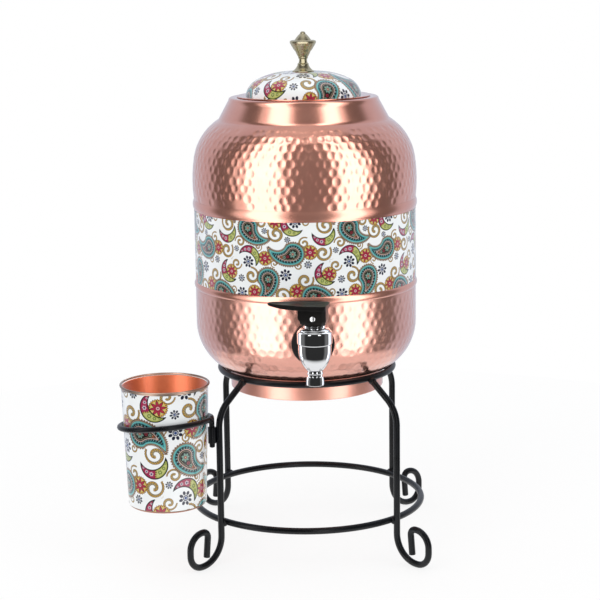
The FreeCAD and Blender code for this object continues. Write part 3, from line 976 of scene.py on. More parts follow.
@dataclass
class PrintLayers:
    """Puts the inks of each kind of motif over one another."""

    g: Graph
    paint: Value
    blur: float = 0.07
    room: Value | None = None

    def inside(self, distance: Value, limit: float) -> Value:
        """1 where a distance is below the limit."""
        return distance.step_up(limit + self.blur, limit - self.blur)

    def begin(self, kind: Kind, fringe: float = 0.15) -> tuple[Value, Value, Value, Value, Value]:
        """Start a kind of motif.

        Args:
            kind: the motif.
            fringe: how far outside its edge the motif still has ink.

        Returns:
            Place along and across it, distance to its edge, distance from its middle, and angle.
        """
        p, q, edge = self.g.attribute(kind.value)
        self.room = self.inside(edge, fringe)
        return p, q, edge, self.length(p, q), self.g.math("ARCTAN2", q, p)

    def lay(self, mask: Value, ink: Ink) -> None:
        """Put an ink over what lies below, within the motif."""
        tone = tuple(INK_DEPTH * part for part in srgb(ink))
        self.paint = self.g.mix(mask * self.room, self.paint, tone)

    def length(self, p: Value, q: Value) -> Value:
        """Length of a vector."""
        return self.g.math("SQRT", p * p + q * q)

    def cell(self, place: Value, spacing: float) -> Value:
        """Distance along a line to the middle of the nearest of evenly spaced dots."""
        return (self.g.math("FRACT", place / spacing) - 0.5) * spacing

    def around(self, angle: Value, reach: Value, count: int) -> Value:
        """Distance along a circle to the nearest of evenly spaced dots."""
        return (self.g.math("FRACT", angle * (count / TAU)) - 0.5) * reach * (TAU / count)

    def petals(self, angle: Value, reach: Value, count: int, middle: float, width: float,
               length: float) -> Value:
        """Distance to the nearest of the petals that stand around a point."""
        along = (reach - middle) * (width / length)
        return self.length(along, self.around(angle, reach, count)) - width

    def scrolls(self) -> None:
        """Spiral bands with gold beads along their outer side."""
        _, _, _, reach, angle = self.begin(Kind.SCROLL)
        pitch = 4.2
        turns = reach / pitch - angle / TAU
        arm = self.g.math("ROUND", turns)
        off = (turns - arm) * pitch
        total = arm * TAU + angle
        shown = total.step_up(1.1, 1.5) * total.step_up(3.16 * math.pi, 3.12 * math.pi)
        self.room = self.room * shown
        width = (total.step_up(3.2 * math.pi, 1.9 * math.pi) * 0.5 + 0.5) * 1.16
        run = self.cell(total * total * (pitch / (4 * math.pi)), 1.5)
        self.lay(self.inside(off.size() - width, 0.06), Ink.BRONZE)
        self.lay(self.inside(off.size() - width, -0.2), Ink.SAND)
        bead = self.length(run, off - width * 0.38)
        self.lay(self.inside(bead, 0.72), Ink.UMBER)
        self.lay(self.inside(bead, 0.52), Ink.GOLD)
        self.lay(self.inside(self.length(run, off + width * 0.55), 0.3), Ink.TAUPE)

    def daisies(self) -> None:
        """Navy flowers with eight petals."""
        _, _, _, reach, angle = self.begin(Kind.DAISY)
        self.lay(self.inside(self.petals(angle, reach, 8, 3.35, 0.98, 1.25), 0.0), Ink.MIDNIGHT)
        for limit, ink in ((1.85, Ink.NAVY), (1.3, Ink.FROST), (0.85, Ink.BLUE)):
            self.lay(self.inside(reach, limit), ink)

    def suns(self) -> None:
        """Yellow discs with a ring of dots and a dark red star."""
        _, _, _, reach, angle = self.begin(Kind.SUN)
        rim = reach - (angle * 24.0).cosine() * 0.3
        self.lay(self.inside(rim, 5.62), Ink.RUST)
        self.lay(self.inside(rim, 5.32), Ink.AMBER)
        self.lay(self.inside(self.length(reach - 5.0, self.around(angle, reach, 24)), 0.36), Ink.BRICK)
        self.lay(self.inside(reach, 4.35), Ink.YELLOW)
        star = self.petals(angle, reach, 8, 2.35, 0.72, 1.75)
        self.lay(self.inside(star, 0.26), Ink.WINE)
        self.lay(self.inside(star, 0.0), Ink.CERISE)
        for limit, ink in ((1.75, Ink.CLARET), (1.5, Ink.CERISE), (1.05, Ink.BLUSH),
                           (0.5, Ink.PLUM)):
            self.lay(self.inside(reach, limit), ink)

    def crescents(self) -> None:
        """Moons, half magenta with small flowers and half lime, with a beaded seam."""
        p, q, edge, reach, _ = self.begin(Kind.CRESCENT)
        self.lay(self.inside(edge, 0.0), Ink.SOOT)
        inner = self.inside(edge, -0.58)
        seam = p + (reach * 1.3).sine() * 0.4
        lime, pink = inner * self.inside(-seam, 0.0), inner * self.inside(seam, 0.0)
        self.lay(lime, Ink.MOSS)
        self.lay(lime * self.inside(edge, -1.0), Ink.LIME)
        self.lay(pink, Ink.MAGENTA)
        self.lay(inner * self.inside(seam.size(), 0.4), Ink.SLATE)
        self.lay(inner * self.inside(self.length(self.cell(reach, 1.0), seam), 0.34), Ink.HONEY)
        for turn, middle, size in ((0.5, 5.0, 1.2), (1.05, 5.45, 0.95), (1.48, 6.1, 0.6)):
            across, up = middle * math.sin(turn), -middle * math.cos(turn)
            for side, under, over in ((-1, Ink.ROSE, Ink.INDIGO), (1, Ink.LEAF, Ink.CELERY)):
                right, ahead = p - across * side, q - up
                spot = self.length(right, ahead)
                flower = spot - (self.g.math("ARCTAN2", ahead, right) * 6.0).cosine() * (0.16 * size)
                self.lay(self.inside(flower, size * 0.88), under)
                self.lay(self.inside(spot, size * 0.42), over)

    def drops(self) -> None:
        """Teardrops: beaded fringe, teal border, scallops, pearls and a dark core with small flowers."""
        p, q, edge, _, _ = self.begin(Kind.DROP, 0.95)
        turn = self.g.math("ARCTAN2", q.size(), (-p).most(0.0))
        run = turn * 5.0 + p.most(0.0)
        self.lay(self.inside(self.length(self.cell(run, 1.0), edge - 0.45), 0.34), Ink.TAN)
        self.lay(self.inside(edge, 0.16), Ink.COFFEE)
        self.lay(self.inside(edge, -0.26), Ink.PEACH)
        self.lay(self.inside(edge, -0.58), Ink.PINE)
        self.lay(self.inside(edge, -0.86), Ink.AQUA)
        self.lay(self.inside(edge, -1.6), Ink.TEAL)
        wave = self.cell(run, 1.55)
        self.lay(self.inside(edge - wave * wave * 0.9, -2.3), Ink.NIGHT)
        self.lay(self.inside(self.length(wave, edge + 2.95), 0.36), Ink.MIST)
        self.lay(self.inside(edge, -3.55), Ink.SALMON)
        self.lay(self.inside(edge, -4.05), Ink.BLACK)
        core = self.inside(edge, -4.2)
        self.lay(self.inside(self.length(self.cell(run, 0.86), edge + 4.75), 0.24), Ink.BONE)
        place = p - 0.3
        reach, angle = self.length(place, q), self.g.math("ARCTAN2", q, place)
        self.lay(core * self.inside(self.petals(angle, reach, 7, 1.7, 0.62, 0.9), 0.0), Ink.SAGE)
        for limit, ink in ((0.9, Ink.RED), (0.4, Ink.CREAM)):
            self.lay(core * self.inside(reach, limit), ink)
        for place, size, ink in ((4.35, 0.95, Ink.RED), (6.7, 0.85, Ink.SAGE),
                                 (8.8, 0.62, Ink.ORANGE), (10.5, 0.45, Ink.STRAW)):
            spot = self.length(p - place, q)
            self.lay(core * self.inside(spot, size), ink)
            self.lay(core * self.inside(spot, size * 0.45), Ink.EBONY)


@dataclass(frozen=True)
class PrintFinish:
    """Glossy printed paisley."""

    roughness: float = 0.42
    spread: float = 0.15      # how far the roughness wanders
    grain_depth: float = 0.003
    lacquer_roughness: float = 0.1
    lacquer_index: float = 1.9

    def material(self, name: str) -> bpy.types.Material:
        """Build the material.

        Args:
            name: the material's name.

        Returns:
            The material.
        """
        made, g = blank(name)
        place = g.position()
        fine = g.noise(place, 900, 3)
        ground = g.mix(g.noise(place, 40).step_up(0.3, 0.7), srgb(Ink.WHITE), srgb(Ink.CHALK))
        layers = PrintLayers(g, ground)
        for lay_kind in (layers.scrolls, layers.daisies, layers.suns, layers.crescents, layers.drops):
            lay_kind()
        return shader({"Base Color": layers.paint, "Roughness": self.roughness + (fine - 0.5) * self.spread,
                       "Coat Weight": 1.0, "Coat Roughness": self.lacquer_roughness,
                       "Coat IOR": self.lacquer_index, "Normal": g.bump(fine, self.grain_depth)}, g, made)


# Sheets, marks and the workshop

FILM = 0.3                # thickness of the print
LEGS = {"leg_front_right": -45.0, "leg_back_right": 42.0, "leg_back_left": 135.0, "leg_front_left": -135.0}
Steps = tuple[tuple[float, ...], ...]


def raised(steps: Steps, height: float) -> list[tuple[float, ...]]:
    """Steps of an outline, moved up."""
    return [(radius, level + height, *bow) for radius, level, *bow in steps]


def shell(outside: np.ndarray, thickness: float, round_ends: tuple[float, float] = (0.3, 0.3)
          ) -> np.ndarray:
    """Closed profile of a sheet whose outside is given, with its metal to the left.

    The inside is the outside moved square to its own run by the thickness. Each free edge ends in a
    point halfway between the two, and the corners beside it are drawn back.

    Args:
        outside: points (n, 2) of radius and height.
        thickness: of the sheet.
        round_ends: how round the first and the last edge are, as a share of the thickness.

    Returns:
        The profile, which ends on the axis or where it starts.
    """
    slope = unit(np.gradient(outside, axis=0))
    inside = outside + np.column_stack([-slope[:, 1], slope[:, 0]]) * thickness
    inside[:, 0] = np.maximum(inside[:, 0], 0)
    tips = [(outside[k] + inside[k]) / 2 for k in (0, -1)]
    first, last = round_ends
    sides = outside.copy(), inside
    for side in sides:
        side[-1] -= slope[-1] * last * thickness
    if outside[0, 0] > 0:
        for side in sides:
            side[0] += slope[0] * first * thickness
        return np.vstack([sides[0], tips[1], inside[::-1], tips[0], sides[0][:1]])
    inside[0, 0] = 0
    return np.vstack([sides[0], tips[1], inside[::-1]])


def shell_run(outside: np.ndarray) -> np.ndarray:
    """Distance along the outside for each point of the shell's profile."""
    run = run_length(outside)
    return np.concatenate([run, run[-1:], run[::-1], run[:1], run[:1]])


def tube_wall(outer: float, inner: float, low: float, high: float, edge: float = 0.25,
              spacing: float = 8) -> np.ndarray:
    """Closed profile of an upright tube with rounded edges.

    Args:
        outer: outer radius.
        inner: inner radius.
        low: height of its lower end.
        high: height of its upper end.
        edge: radius of the rounded edges.
        spacing: largest distance between neighbouring points.

    Returns:
        The profile, which ends where it starts.
    """
    bow = QUARTER_BOW * edge
    return outline((inner, low + edge), (inner + edge, low, -bow), (outer - edge, low),
                   (outer, low + edge, bow), (outer, high - edge), (outer - edge, high, bow),
                   (inner + edge, high), (inner, high - edge, bow), (inner, low + edge), spacing=spacing)


@dataclass(frozen=True)
class Hammering:
    """Rows of hammer marks around the axis, between two distances along the profile."""

    low: float
    high: float
    count: int                # marks around
    pitch: float              # between rows
    depth: float
    reach: float              # radius of a mark
    jitter: float             # as a share of the pitch
    seed: int

    def nearest(self, theta: np.ndarray, run: np.ndarray, radius: np.ndarray) -> np.ndarray:
        """Where each point lies in the nearest mark.

        Every second row is shifted by half a mark, and each mark is moved and sized at random. The
        nearest mark is sought in the three rows and columns around the point.

        Args:
            theta: angles.
            run: distances along the profile.
            radius: distances from the axis.

        Returns:
            Array (..., 3): place across and up from the mark's middle, in units of its radius, and the
            square of the distance, which is below 1 in the mark.
        """
        rows = math.ceil((self.high - self.low) / self.pitch) + 3
        source = np.random.default_rng(self.seed)
        push = source.uniform(-self.jitter, self.jitter, (rows, self.count, 2))
        wider = source.uniform(0.86, 1.14, (rows, self.count)) * self.reach
        row_place = (run - self.low) / self.pitch
        around = theta / TAU * self.count
        wide = TAU * radius / self.count
        best = np.full((*np.broadcast_shapes(run.shape, theta.shape), 3), 9.0)
        for row_step in (-1, 0, 1):
            row = np.round(row_place).astype(int) + row_step
            safe = np.clip(row + 1, 0, rows - 1)
            lean = 0.5 * (row % 2)
            for step in (-1, 0, 1):
                column = np.round(around - lean).astype(int) + step
                offset = push[safe, column % self.count]
                size = wider[safe, column % self.count]
                across = (around - lean - column - offset[..., 0]) * wide / size
                up = (row_place - row - offset[..., 1]) * self.pitch / size
                ahead = row * self.pitch + offset[..., 1] * self.pitch
                missing = 9.0 * ((ahead < 0) | (ahead > self.high - self.low) | (row != safe - 1))
                here = np.stack([across + missing, up + 0 * across, across ** 2 + up ** 2 + missing], -1)
                best = np.where(here[..., 2:] < best[..., 2:], here, best)
        return best

    def beaten(self, outside: np.ndarray, thickness: float, columns: int,
               round_ends: tuple[float, float]) -> tuple[Surface, dict[str, np.ndarray]]:
        """A hammered sheet: a mark is a hollow on its outside and a bump on its inside.

        Its depth falls with the square of the distance from the mark's middle.

        Args:
            outside: the sheet's outside.
            thickness: of the sheet.
            columns: points around.
            round_ends: how round the first and the last edge are.

        Returns:
            The closed surface, and the marks as an attribute.
        """
        closed = shell(outside, thickness, round_ends)
        theta = np.arange(columns)[None, :] * TAU / columns
        found = self.nearest(theta, shell_run(outside)[:len(closed), None], closed[:, :1])
        sign = np.where(np.arange(len(closed)) > len(outside), -1.0, 1.0)[:, None]
        relief = (np.minimum(found[..., 2], 1.0) - 1.0) * self.depth * sign
        return lathe(closed, columns, relief), {"mark": found.reshape(-1, 3)}


@dataclass(frozen=True)
class Workshop:
    """Makes the pieces, each with its body, its finish and the CAD node that it replaces."""

    materials: dict[Slot | Look, bpy.types.Material]
    paisley: Paisley

    def add(self, name: str, surface: Surface, body: Body, slot: Slot,
            fields: dict[str, np.ndarray] | None = None, look: Look | None = None) -> bpy.types.Object:
        """Add a piece named after the CAD node it stands for, in its slot's finish or in its own look."""
        item = mesh_object(name + "_look", surface, fields)
        return finish_piece(item, body, self.materials[look or slot], [name])

    def add_printed(self, name: str, profile: np.ndarray, columns: int, repeats: int, low: float,
                    body: Body, place: Sequence[float] = (0.0, 0.0, 0.0)) -> bpy.types.Object:
        """Add a printed wall with a whole number of tiles around.

        Args:
            name: the CAD node.
            profile: closed profile of radius and height.
            columns: points around.
            repeats: tiles around.
            low: height of the first tile's lower edge.
            body: the body it rides on.
            place: where its axis stands.

        Returns:
            The piece.
        """
        scale = TAU * profile[:, 0].mean() / repeats / TILE_W
        around = np.arange(columns)[None, :] / columns * repeats * TILE_W + 0 * profile[:, :1]
        fields = self.paisley.fields(around, (profile[:, 1:] - low) / scale + 0 * around)
        return self.add(name, lathe(profile, columns).moved(*place), body, Slot.PRINT, fields)

    def add_moulded(self, name: str, body: Body, slot: Slot, grain: float, rounds: int,
                    shape: Callable[[np.ndarray], np.ndarray]) -> bpy.types.Object:
        """Add a rounded copy of a CAD node: its corners are softened as in a moulding.

        Args:
            name: the CAD node.
            body: the body it rides on.
            slot: its material slot.
            grain: cell size of the copy in millimetres.
            rounds: smoothing passes.
            shape: moves the copy's points, in millimetres.

        Returns:
            The piece.
        """
        node = frame["nodes"][name]
        copy = bpy.data.objects.new(name + "_look", node.data.copy())
        bpy.context.scene.collection.objects.link(copy)
        copy.matrix_world = node.matrix_world.copy()
        work = bmesh.new()
        work.from_mesh(copy.data)
        bmesh.ops.remove_doubles(work, verts=work.verts, dist=MERGE)
        work.to_mesh(copy.data)
        work.free()
        cells = copy.modifiers.new("cells", "REMESH")
        cells.mode, cells.voxel_size, cells.use_smooth_shade = "VOXEL", grain * MM, True
        smooth = copy.modifiers.new("smooth", "SMOOTH")
        smooth.factor, smooth.iterations = 0.5, rounds
        evaluated = copy.evaluated_get(bpy.context.evaluated_depsgraph_get())
        mesh = bpy.data.meshes.new_from_object(evaluated)
        mesh.transform(copy.matrix_world)
        points = np.empty(len(mesh.vertices) * 3)
        mesh.vertices.foreach_get("co", points)
        mesh.vertices.foreach_set("co", (shape(points.reshape(-1, 3) / MM) * MM).ravel())
        copy.modifiers.clear()
        copy.data = mesh
        copy.matrix_world = Matrix.Identity(4)
        mesh.shade_smooth()
        return finish_piece(copy, body, self.materials[slot], [name])

    def keep(self, slot: Slot, *names: str) -> None:
        """Show CAD nodes as they are, with the slot's finish.

        Args:
            slot: the material slot.
            names: the CAD nodes.
        """
        for name in names:
            mesh = frame["nodes"][name].data
            mesh.materials.clear()
            mesh.materials.append(self.materials[slot])
            LOG.info("%s: the solid's own mesh", name)


# Sub-assemblies

@dataclass(frozen=True)
class Stand:
    """Four legs of bent rod between two rings. Each leg ends in a scroll on the floor."""

    rod_r: float = 2.75
    ring_r: float = 74.2
    ring_z: float = 153.905
    low_ring_r: float = 98.75
    low_ring_z: float = 35.7
    leg_r: float = 104.25     # from the axis to a leg's upright run
    slope: float = 38.0       # degrees, from level down to the run below the ring
    foot_out: float = 35.0    # from the upright run to the scroll's outer side
    foot_high: float = 29.5
    roll_in: float = 20.0     # from the scroll's outer side to its last bend
    tip_in: float = 17.8
    tip_up: float = 7.0
    bends: tuple[float, ...] = (26, 22, 12, 13.5, 5)
    bead_lumps: float = 0.035

    def leg(self, degrees: float) -> Surface:
        """A leg from the top ring out and down, along the floor and back in a scroll.

        Args:
            degrees: its direction.

        Returns:
            The closed surface.
        """
        slope = math.radians(self.slope)
        away = np.array([math.cos(slope), 0, -math.sin(slope)])
        ring = np.array([self.ring_r, 0, self.ring_z])
        elbow = ring + away * (self.leg_r - self.ring_r) / math.cos(slope)
        low, toe, high = self.rod_r, self.leg_r + self.foot_out, self.rod_r + self.foot_high
        corners = [ring + away * self.rod_r, elbow, (self.leg_r, 0, low), (toe, 0, low), (toe, 0, high),
                   (toe - self.roll_in, 0, high), (toe - self.tip_in, 0, low + self.tip_up)]
        path = bent(corners, self.bends, 1.5)
        return rod(path, np.array([0, 1.0, 0]), self.rod_r, sides=24).turned(degrees)

    def welds(self, place: Sequence[float], radii: Sequence[float], seed: int) -> Surface:
        """A weld bead at each leg.

        Args:
            place: the bead's middle, for a leg along +X.
            radii: the bead's radii.
            seed: of the first bead's waves.

        Returns:
            The closed surfaces in one.
        """
        beads = [bead(place, radii, self.bead_lumps, seed + k).turned(degrees)
                 for k, degrees in enumerate(LEGS.values())]
        return sum(beads[1:], beads[0])

    def build(self, shop: Workshop) -> None:
        """Make the rings, the legs and the welds.

        Args:
            shop: makes the pieces.
        """
        rings = {"top_ring": torus(self.ring_r, self.rod_r, self.ring_z),
                 "bottom_ring": torus(self.low_ring_r, self.rod_r, self.low_ring_z)}
        legs = {name: self.leg(degrees) for name, degrees in LEGS.items()}
        high, low = (self.ring_r + 2.6, 0, self.ring_z - 2.0), (self.leg_r - self.rod_r, 0, self.low_ring_z)
        welds = {"top_welds": self.welds(high, (3.4, 3.5, 3.3), 0),
                 "bottom_welds": self.welds(low, (3.3, 3.8, 3.8), 5)}
        for name, surface in {**rings, **legs, **welds}.items():
            shop.add(name, surface, Body.STAND, Slot.IRON)


@dataclass(frozen=True)
class Holder:
    """One bent wire, with a pin, a rise and a loop round the tumbler, and the socket that it turns in."""

    centre: tuple[float, float, float] = (-118.277, -69.995, 122.6)
    loop_r: float = 38.142
    rod_r: float = 2.3
    tilt: tuple[float, float] = (-0.080, 0.111)     # of the loop's normal, along x and y
    bend_r: float = 4.5
    pin_out: float = 0.6      # from the loop's circle out to the pin
    pin_low: float = 101.7
    end_gap: float = 2.0      # between the loop's end and the rise
    socket_low: float = 105.5
    socket_high: float = 119.2
    clearance: float = 0.07
    socket_sheet: float = 1.0

    def path(self) -> tuple[np.ndarray, np.ndarray]:
        """The wire's path: up the pin, round a bend and on along the loop's circle.

        A point of the loop is its middle plus the radius times the cosine of its angle to the right and
        the sine to the back. Both directions lie in the loop's tilted plane.

        Returns:
            The points from the pin's lower end, and for each the vector to it from the loop's middle.
        """
        lean, ahead = self.tilt
        normal = unit(np.array([lean, ahead, 1.0]))
        right = unit(np.array([1, 0, -lean]))
        back = np.cross(normal, right)
        run_in = self.bend_r * math.tan(math.acos(back[2]) / 2)
        centre = np.array(self.centre)
        out = self.loop_r + self.pin_out
        bend = centre + right * out - back * run_in
        start = math.acos(self.loop_r / np.linalg.norm(bend - centre)) - math.atan2(run_in, out)
        stop = TAU - math.asin((run_in + self.end_gap) / self.loop_r)
        angle = np.linspace(start, stop, 150)[:, None]
        loop = centre + self.loop_r * (np.cos(angle) * right + np.sin(angle) * back)
        lead = bent([(bend[0], bend[1], self.pin_low), bend, loop[0]], [self.bend_r], 1.2)
        path = np.vstack([lead, loop[1:]])
        side = path - centre
        side[:, 2] = 0
        return path, unit(side)

    def build(self, shop: Workshop) -> None:
        """Make the socket, the wire and the weld that closes the loop.

        Args:
            shop: makes the pieces.
        """
        path, side = self.path()
        bore = self.rod_r + self.clearance
        wall = tube_wall(bore + self.socket_sheet, bore, self.socket_low, self.socket_high)
        socket = lathe(wall, 48).moved(path[0][0], path[0][1])
        shop.add("holder_socket", socket, Body.STAND, Slot.IRON)
        shop.add("holder_ring", rod(path, side, self.rod_r, 1.2, 24), Body.HOLDER, Slot.IRON)
        nearest = path[np.argmin(np.linalg.norm(path[:30] - path[-1], axis=1))]
        spot = (path[-1] + nearest) / 2 - np.array([0, 0, 0.6])
        shop.add("holder_weld", bead(spot, (2.7, 2.7, 2.5), 0.04, 3), Body.HOLDER, Slot.IRON)


@dataclass(frozen=True)
class Vessel:
    """Hammered bowl and shoulder, a drum with two beads and the printed band, and the foot."""

    wall_r: float = 94.3
    corner_r: float = 45.0
    base_z: float = 150.0
    sheet: float = 1.0
    drum_z: float = 225.5
    band_z: float = 231.4
    high_bead_z: float = 292.0
    upper_z: float = 301.0
    mouth_z: float = 386.0
    mouth_r: float = 50.0
    neck: tuple[float, float] = (72.1, 367.6)       # where the shoulder meets the neck
    bead_bow: float = 1.2
    foot_r: float = 65.6
    foot_sheet: float = 1.2
    foot_z: float = 138.0
    foot_top_z: float = 153.4
    low_marks: Hammering = Hammering(79, 147, 76, 7.3, 0.13, 3.25, 0.17, 11)
    high_marks: Hammering = Hammering(2.5, 66, 80, 7.0, 0.19, 3.3, 0.16, 7)

    def bowl(self) -> np.ndarray:
        """Outside of the lower bowl, from the middle of the base up: flat, quarter circle and wall.

        Returns:
            Points of radius and height.
        """
        flat, bow = self.wall_r - self.corner_r, QUARTER_BOW * self.corner_r
        wall = outline((flat, self.base_z), (self.wall_r, self.base_z + self.corner_r, bow),
                       (self.wall_r, self.drum_z), spacing=1.3)
        return np.vstack([outline((0, self.base_z), (flat, self.base_z), spacing=6), wall[1:]])

    def drum(self) -> np.ndarray:
        """Outside of the drum, with a bead at each end and the print's bed between.

        Returns:
            Array (n, 2) of radius and height, from below up.
        """
        bed = self.wall_r - FILM
        return outline((self.wall_r, self.drum_z), (bed, self.band_z, self.bead_bow),
                       (bed, self.high_bead_z), (self.wall_r, self.upper_z, self.bead_bow), spacing=2.5)

    def upper(self) -> np.ndarray:
        """Outside of the shoulder, the neck and the rim.

        Returns:
            Points of radius and height.
        """
        shoulder = outline((self.wall_r, self.upper_z), (self.wall_r - 0.525, self.upper_z + 33, 1.05),
                           (*self.neck, 4.6), spacing=1.1)
        edge = 2.4
        rim = outline(self.neck, (63.4, self.mouth_z - edge), (61.0, self.mouth_z, QUARTER_BOW * edge),
                      (self.mouth_r, self.mouth_z), spacing=3)
        return np.vstack([shoulder, rim[1:]])

    def foot(self) -> np.ndarray:
        """Closed profile of the skirt under the bowl, with a rounded lower edge.

        Returns:
            Points of radius and height.
        """
        inner, low = self.foot_r - self.foot_sheet, self.foot_z + 0.5
        return outline((self.foot_r, low), (self.foot_r, self.foot_top_z), (inner, self.foot_top_z - 0.5),
                       (inner, low), ((self.foot_r + inner) / 2, self.foot_z, -0.1),
                       (self.foot_r, low, -0.1), spacing=5)[::-1]

    def build(self, shop: Workshop) -> None:
        """Make the vessel's pieces.

        Args:
            shop: makes the pieces.
        """
        bowl, marks = self.low_marks.beaten(self.bowl(), self.sheet, 420, (0.3, 0.04))
        shop.add("lower_bowl", bowl, Body.VESSEL, Slot.HAMMERED, marks, Look.BOWL)
        upper, marks = self.high_marks.beaten(self.upper(), self.sheet, 544, (0.04, 0.3))
        shop.add("upper_body", upper, Body.VESSEL, Slot.HAMMERED, marks)
        drum = lathe(shell(self.drum(), self.sheet, (0.04, 0.04)), 256)
        shop.add("middle_drum", drum, Body.VESSEL, Slot.COPPER)
        shop.add("foot_ring", lathe(self.foot(), 192), Body.VESSEL, Slot.COPPER, look=Look.FOOT)
        band = tube_wall(self.wall_r, self.wall_r - FILM, self.band_z, self.high_bead_z, 0.1, 1.0)
        shop.add_printed("printed_band", band, 592, 7, self.band_z, Body.VESSEL)


@dataclass(frozen=True)
class Tap:
    """Chromed tap with a spout, an egg-shaped body, a shank through the wall and a screwed bonnet."""

    stem_y: float = -120.0
    turn: float = 2.9         # degrees, of the whole tap around the vessel's axis
    shank_z: float = 193.4
    spout_z: float = 165.0
    bonnet_z: float = 198.2
    rim_z: float = 214.0
    thread_r: float = 7.9
    thread_root: float = 7.45
    pitch: float = 1.5
    washer_growth: float = 1.06
    # Steps of the profiles: radius, height and for an arc its bow
    egg: Steps = (
        (0, 12), (4.9, 12), (5.0, 11.9), (5.0, 0.4), (5.4, 0, 0.1), (6.8, 0), (7.3, 0.6, 0.15), (7.3, 3.6),
        (6.7, 7.0, -0.05), (6.0, 8.0, -0.12), (6.0, 9.0), (6.6, 9.7, 0.12), (6.6, 10.2, 0.1),
        (6.0, 11.4, -0.05), (13.2, 28.2, 1.75))
    shank: Steps = (
        (7.9, 89.6), (7.9, 98.5), (11.6, 98.5), (12.0, 98.9, 0.1), (12.0, 100.1), (11.6, 100.5, 0.1),
        (9.2, 100.5), (8.6, 101.1, -0.2), (8.6, 110.0), (3.5, 110.0), (3.5, 78.3))
    cap: Steps = (
        (3.27, 0), (12.6, 0), (14, 1.4, 0.4), (14, 8.5), (12.6, 11.3, 0.5), (8.9, 13.8, 0.6),
        (8.6, 14.3, -0.1), (8.6, 15.4), (8.2, 15.8, 0.12), (3.6, 15.8), (3.27, 15.5, 0.1), (3.27, 0))

    def on_stem(self, surface: Surface) -> Surface:
        """Move a surface drawn around the Z axis onto the tap's stem."""
        return surface.moved(y=self.stem_y).turned(self.turn)

    def body(self) -> Surface:
        """Spout and egg with the outlet's bore, and the shank with its boss, flange and thread.

        Returns:
            The closed surfaces in one.
        """
        egg = outline(*raised(self.egg, self.spout_z), (13.2, self.bonnet_z), (0, self.bonnet_z),
                      spacing=1.5)
        thread = [(self.thread_r if k % 2 else self.thread_root, 78.8 + self.pitch / 2 * k)
                  for k in range(14)]
        shank = lathe(outline((3.5, 78.3), (7.4, 78.3), *thread, *self.shank, spacing=4), 96)
        laid = shank.laid_forward().moved(z=self.shank_z).turned(self.turn)
        return self.on_stem(lathe(egg, 128)) + laid

    def wider_washer(self, points: np.ndarray) -> np.ndarray:
        """The outer washer's points, drawn wider from the shank's axis."""
        middle = np.array([points[:, 0].mean(), 0, self.shank_z])
        return middle + (points - middle) * np.array([self.washer_growth, 1, self.washer_growth])

    def build(self, shop: Workshop) -> None:
        """Make the tap's fixed pieces, and show the inner ones as they are.

        Args:
            shop: makes the pieces.
        """
        shop.add("tap_body", self.body(), Body.VESSEL, Slot.CHROME)
        bonnet = lathe(outline(*raised(self.cap, self.bonnet_z), spacing=1.5), 128)
        shop.add("tap_bonnet", self.on_stem(bonnet), Body.VESSEL, Slot.CHROME)
        shop.add_moulded("outer_washer", Body.VESSEL, Slot.RUBBER, 0.35, 6, self.wider_washer)
        shop.keep(Slot.RUBBER, "inner_washer", "valve_plug")
        shop.keep(Slot.BRASS, "lock_nut")
        shop.keep(Slot.STEEL, "valve_spring")
        shop.keep(Slot.CHROME, "valve_stem")


def ease(value: np.ndarray, start: float, stop: float) -> np.ndarray:
    """0 at start, 1 at stop, with a smooth run between."""
    part = np.clip((value - start) / (stop - start), 0, 1)
    return part * part * (3 - 2 * part)


@dataclass(frozen=True)
class Lever:
    """Push lever on the stem, with its rivet."""

    tap: Tap = Tap()
    turn: float = -15.0       # degrees, on the stem
    pin_z: float = 220.0
    fuller: float = 0.17      # growth of the block over the stem
    higher: float = 1.05
    pin: Steps = (
        (0, -9.1), (1.3, -8.98, 0.02), (2.1, -8.65, 0.06), (2.4, -8.2, 0.05), (1.6, -8.2), (1.6, 8.2),
        (2.4, 8.2), (2.1, 8.65, 0.05), (1.3, 8.98, 0.06), (0, 9.1, 0.02))

    def fuller_hub(self, points: np.ndarray) -> np.ndarray:
        """The lever's points with the block over the stem drawn fuller, as the photo shows it.

        Each point near the stem moves away from its axis by a share that eases in with height. The
        corner that rolls on the bonnet as the lever tilts keeps its place.

        Args:
            points: array (n, 3).

        Returns:
            The moved points.
        """
        axis = self.tap.on_stem(Surface(np.zeros((1, 3)), [])).points[0, :2]
        turn = math.radians(self.tap.turn + self.turn)
        axes = np.array([[math.cos(turn), math.sin(turn)], [-math.sin(turn), math.cos(turn)]])
        aside = (points[:, :2] - axis) @ axes.T
        z = points[:, 2]
        near = self.fuller * ease(np.hypot(*aside.T), 19, 11)
        body = ease(z, 212.5, 218.5)
        behind = np.where(aside[:, 0] < 0, ease(z, 217, 220), body)
        wide = 1 + near[:, None] * np.column_stack([behind, body])
        rim = self.tap.rim_z
        return np.column_stack([axis + (aside * wide) @ axes, rim + (z - rim) * self.higher])

    def build(self, shop: Workshop) -> None:
        """Make the lever and its rivet.

        Args:
            shop: makes the pieces.
        """
        shop.add_moulded("lever_handle", Body.LEVER, Slot.PLASTIC, 0.25, 5, self.fuller_hub)
        pin = lathe(outline(*self.pin), 48).laid_forward().moved(z=self.pin_z).turned(self.turn)
        shop.add("lever_pin", self.tap.on_stem(pin), Body.LEVER, Slot.STEEL)


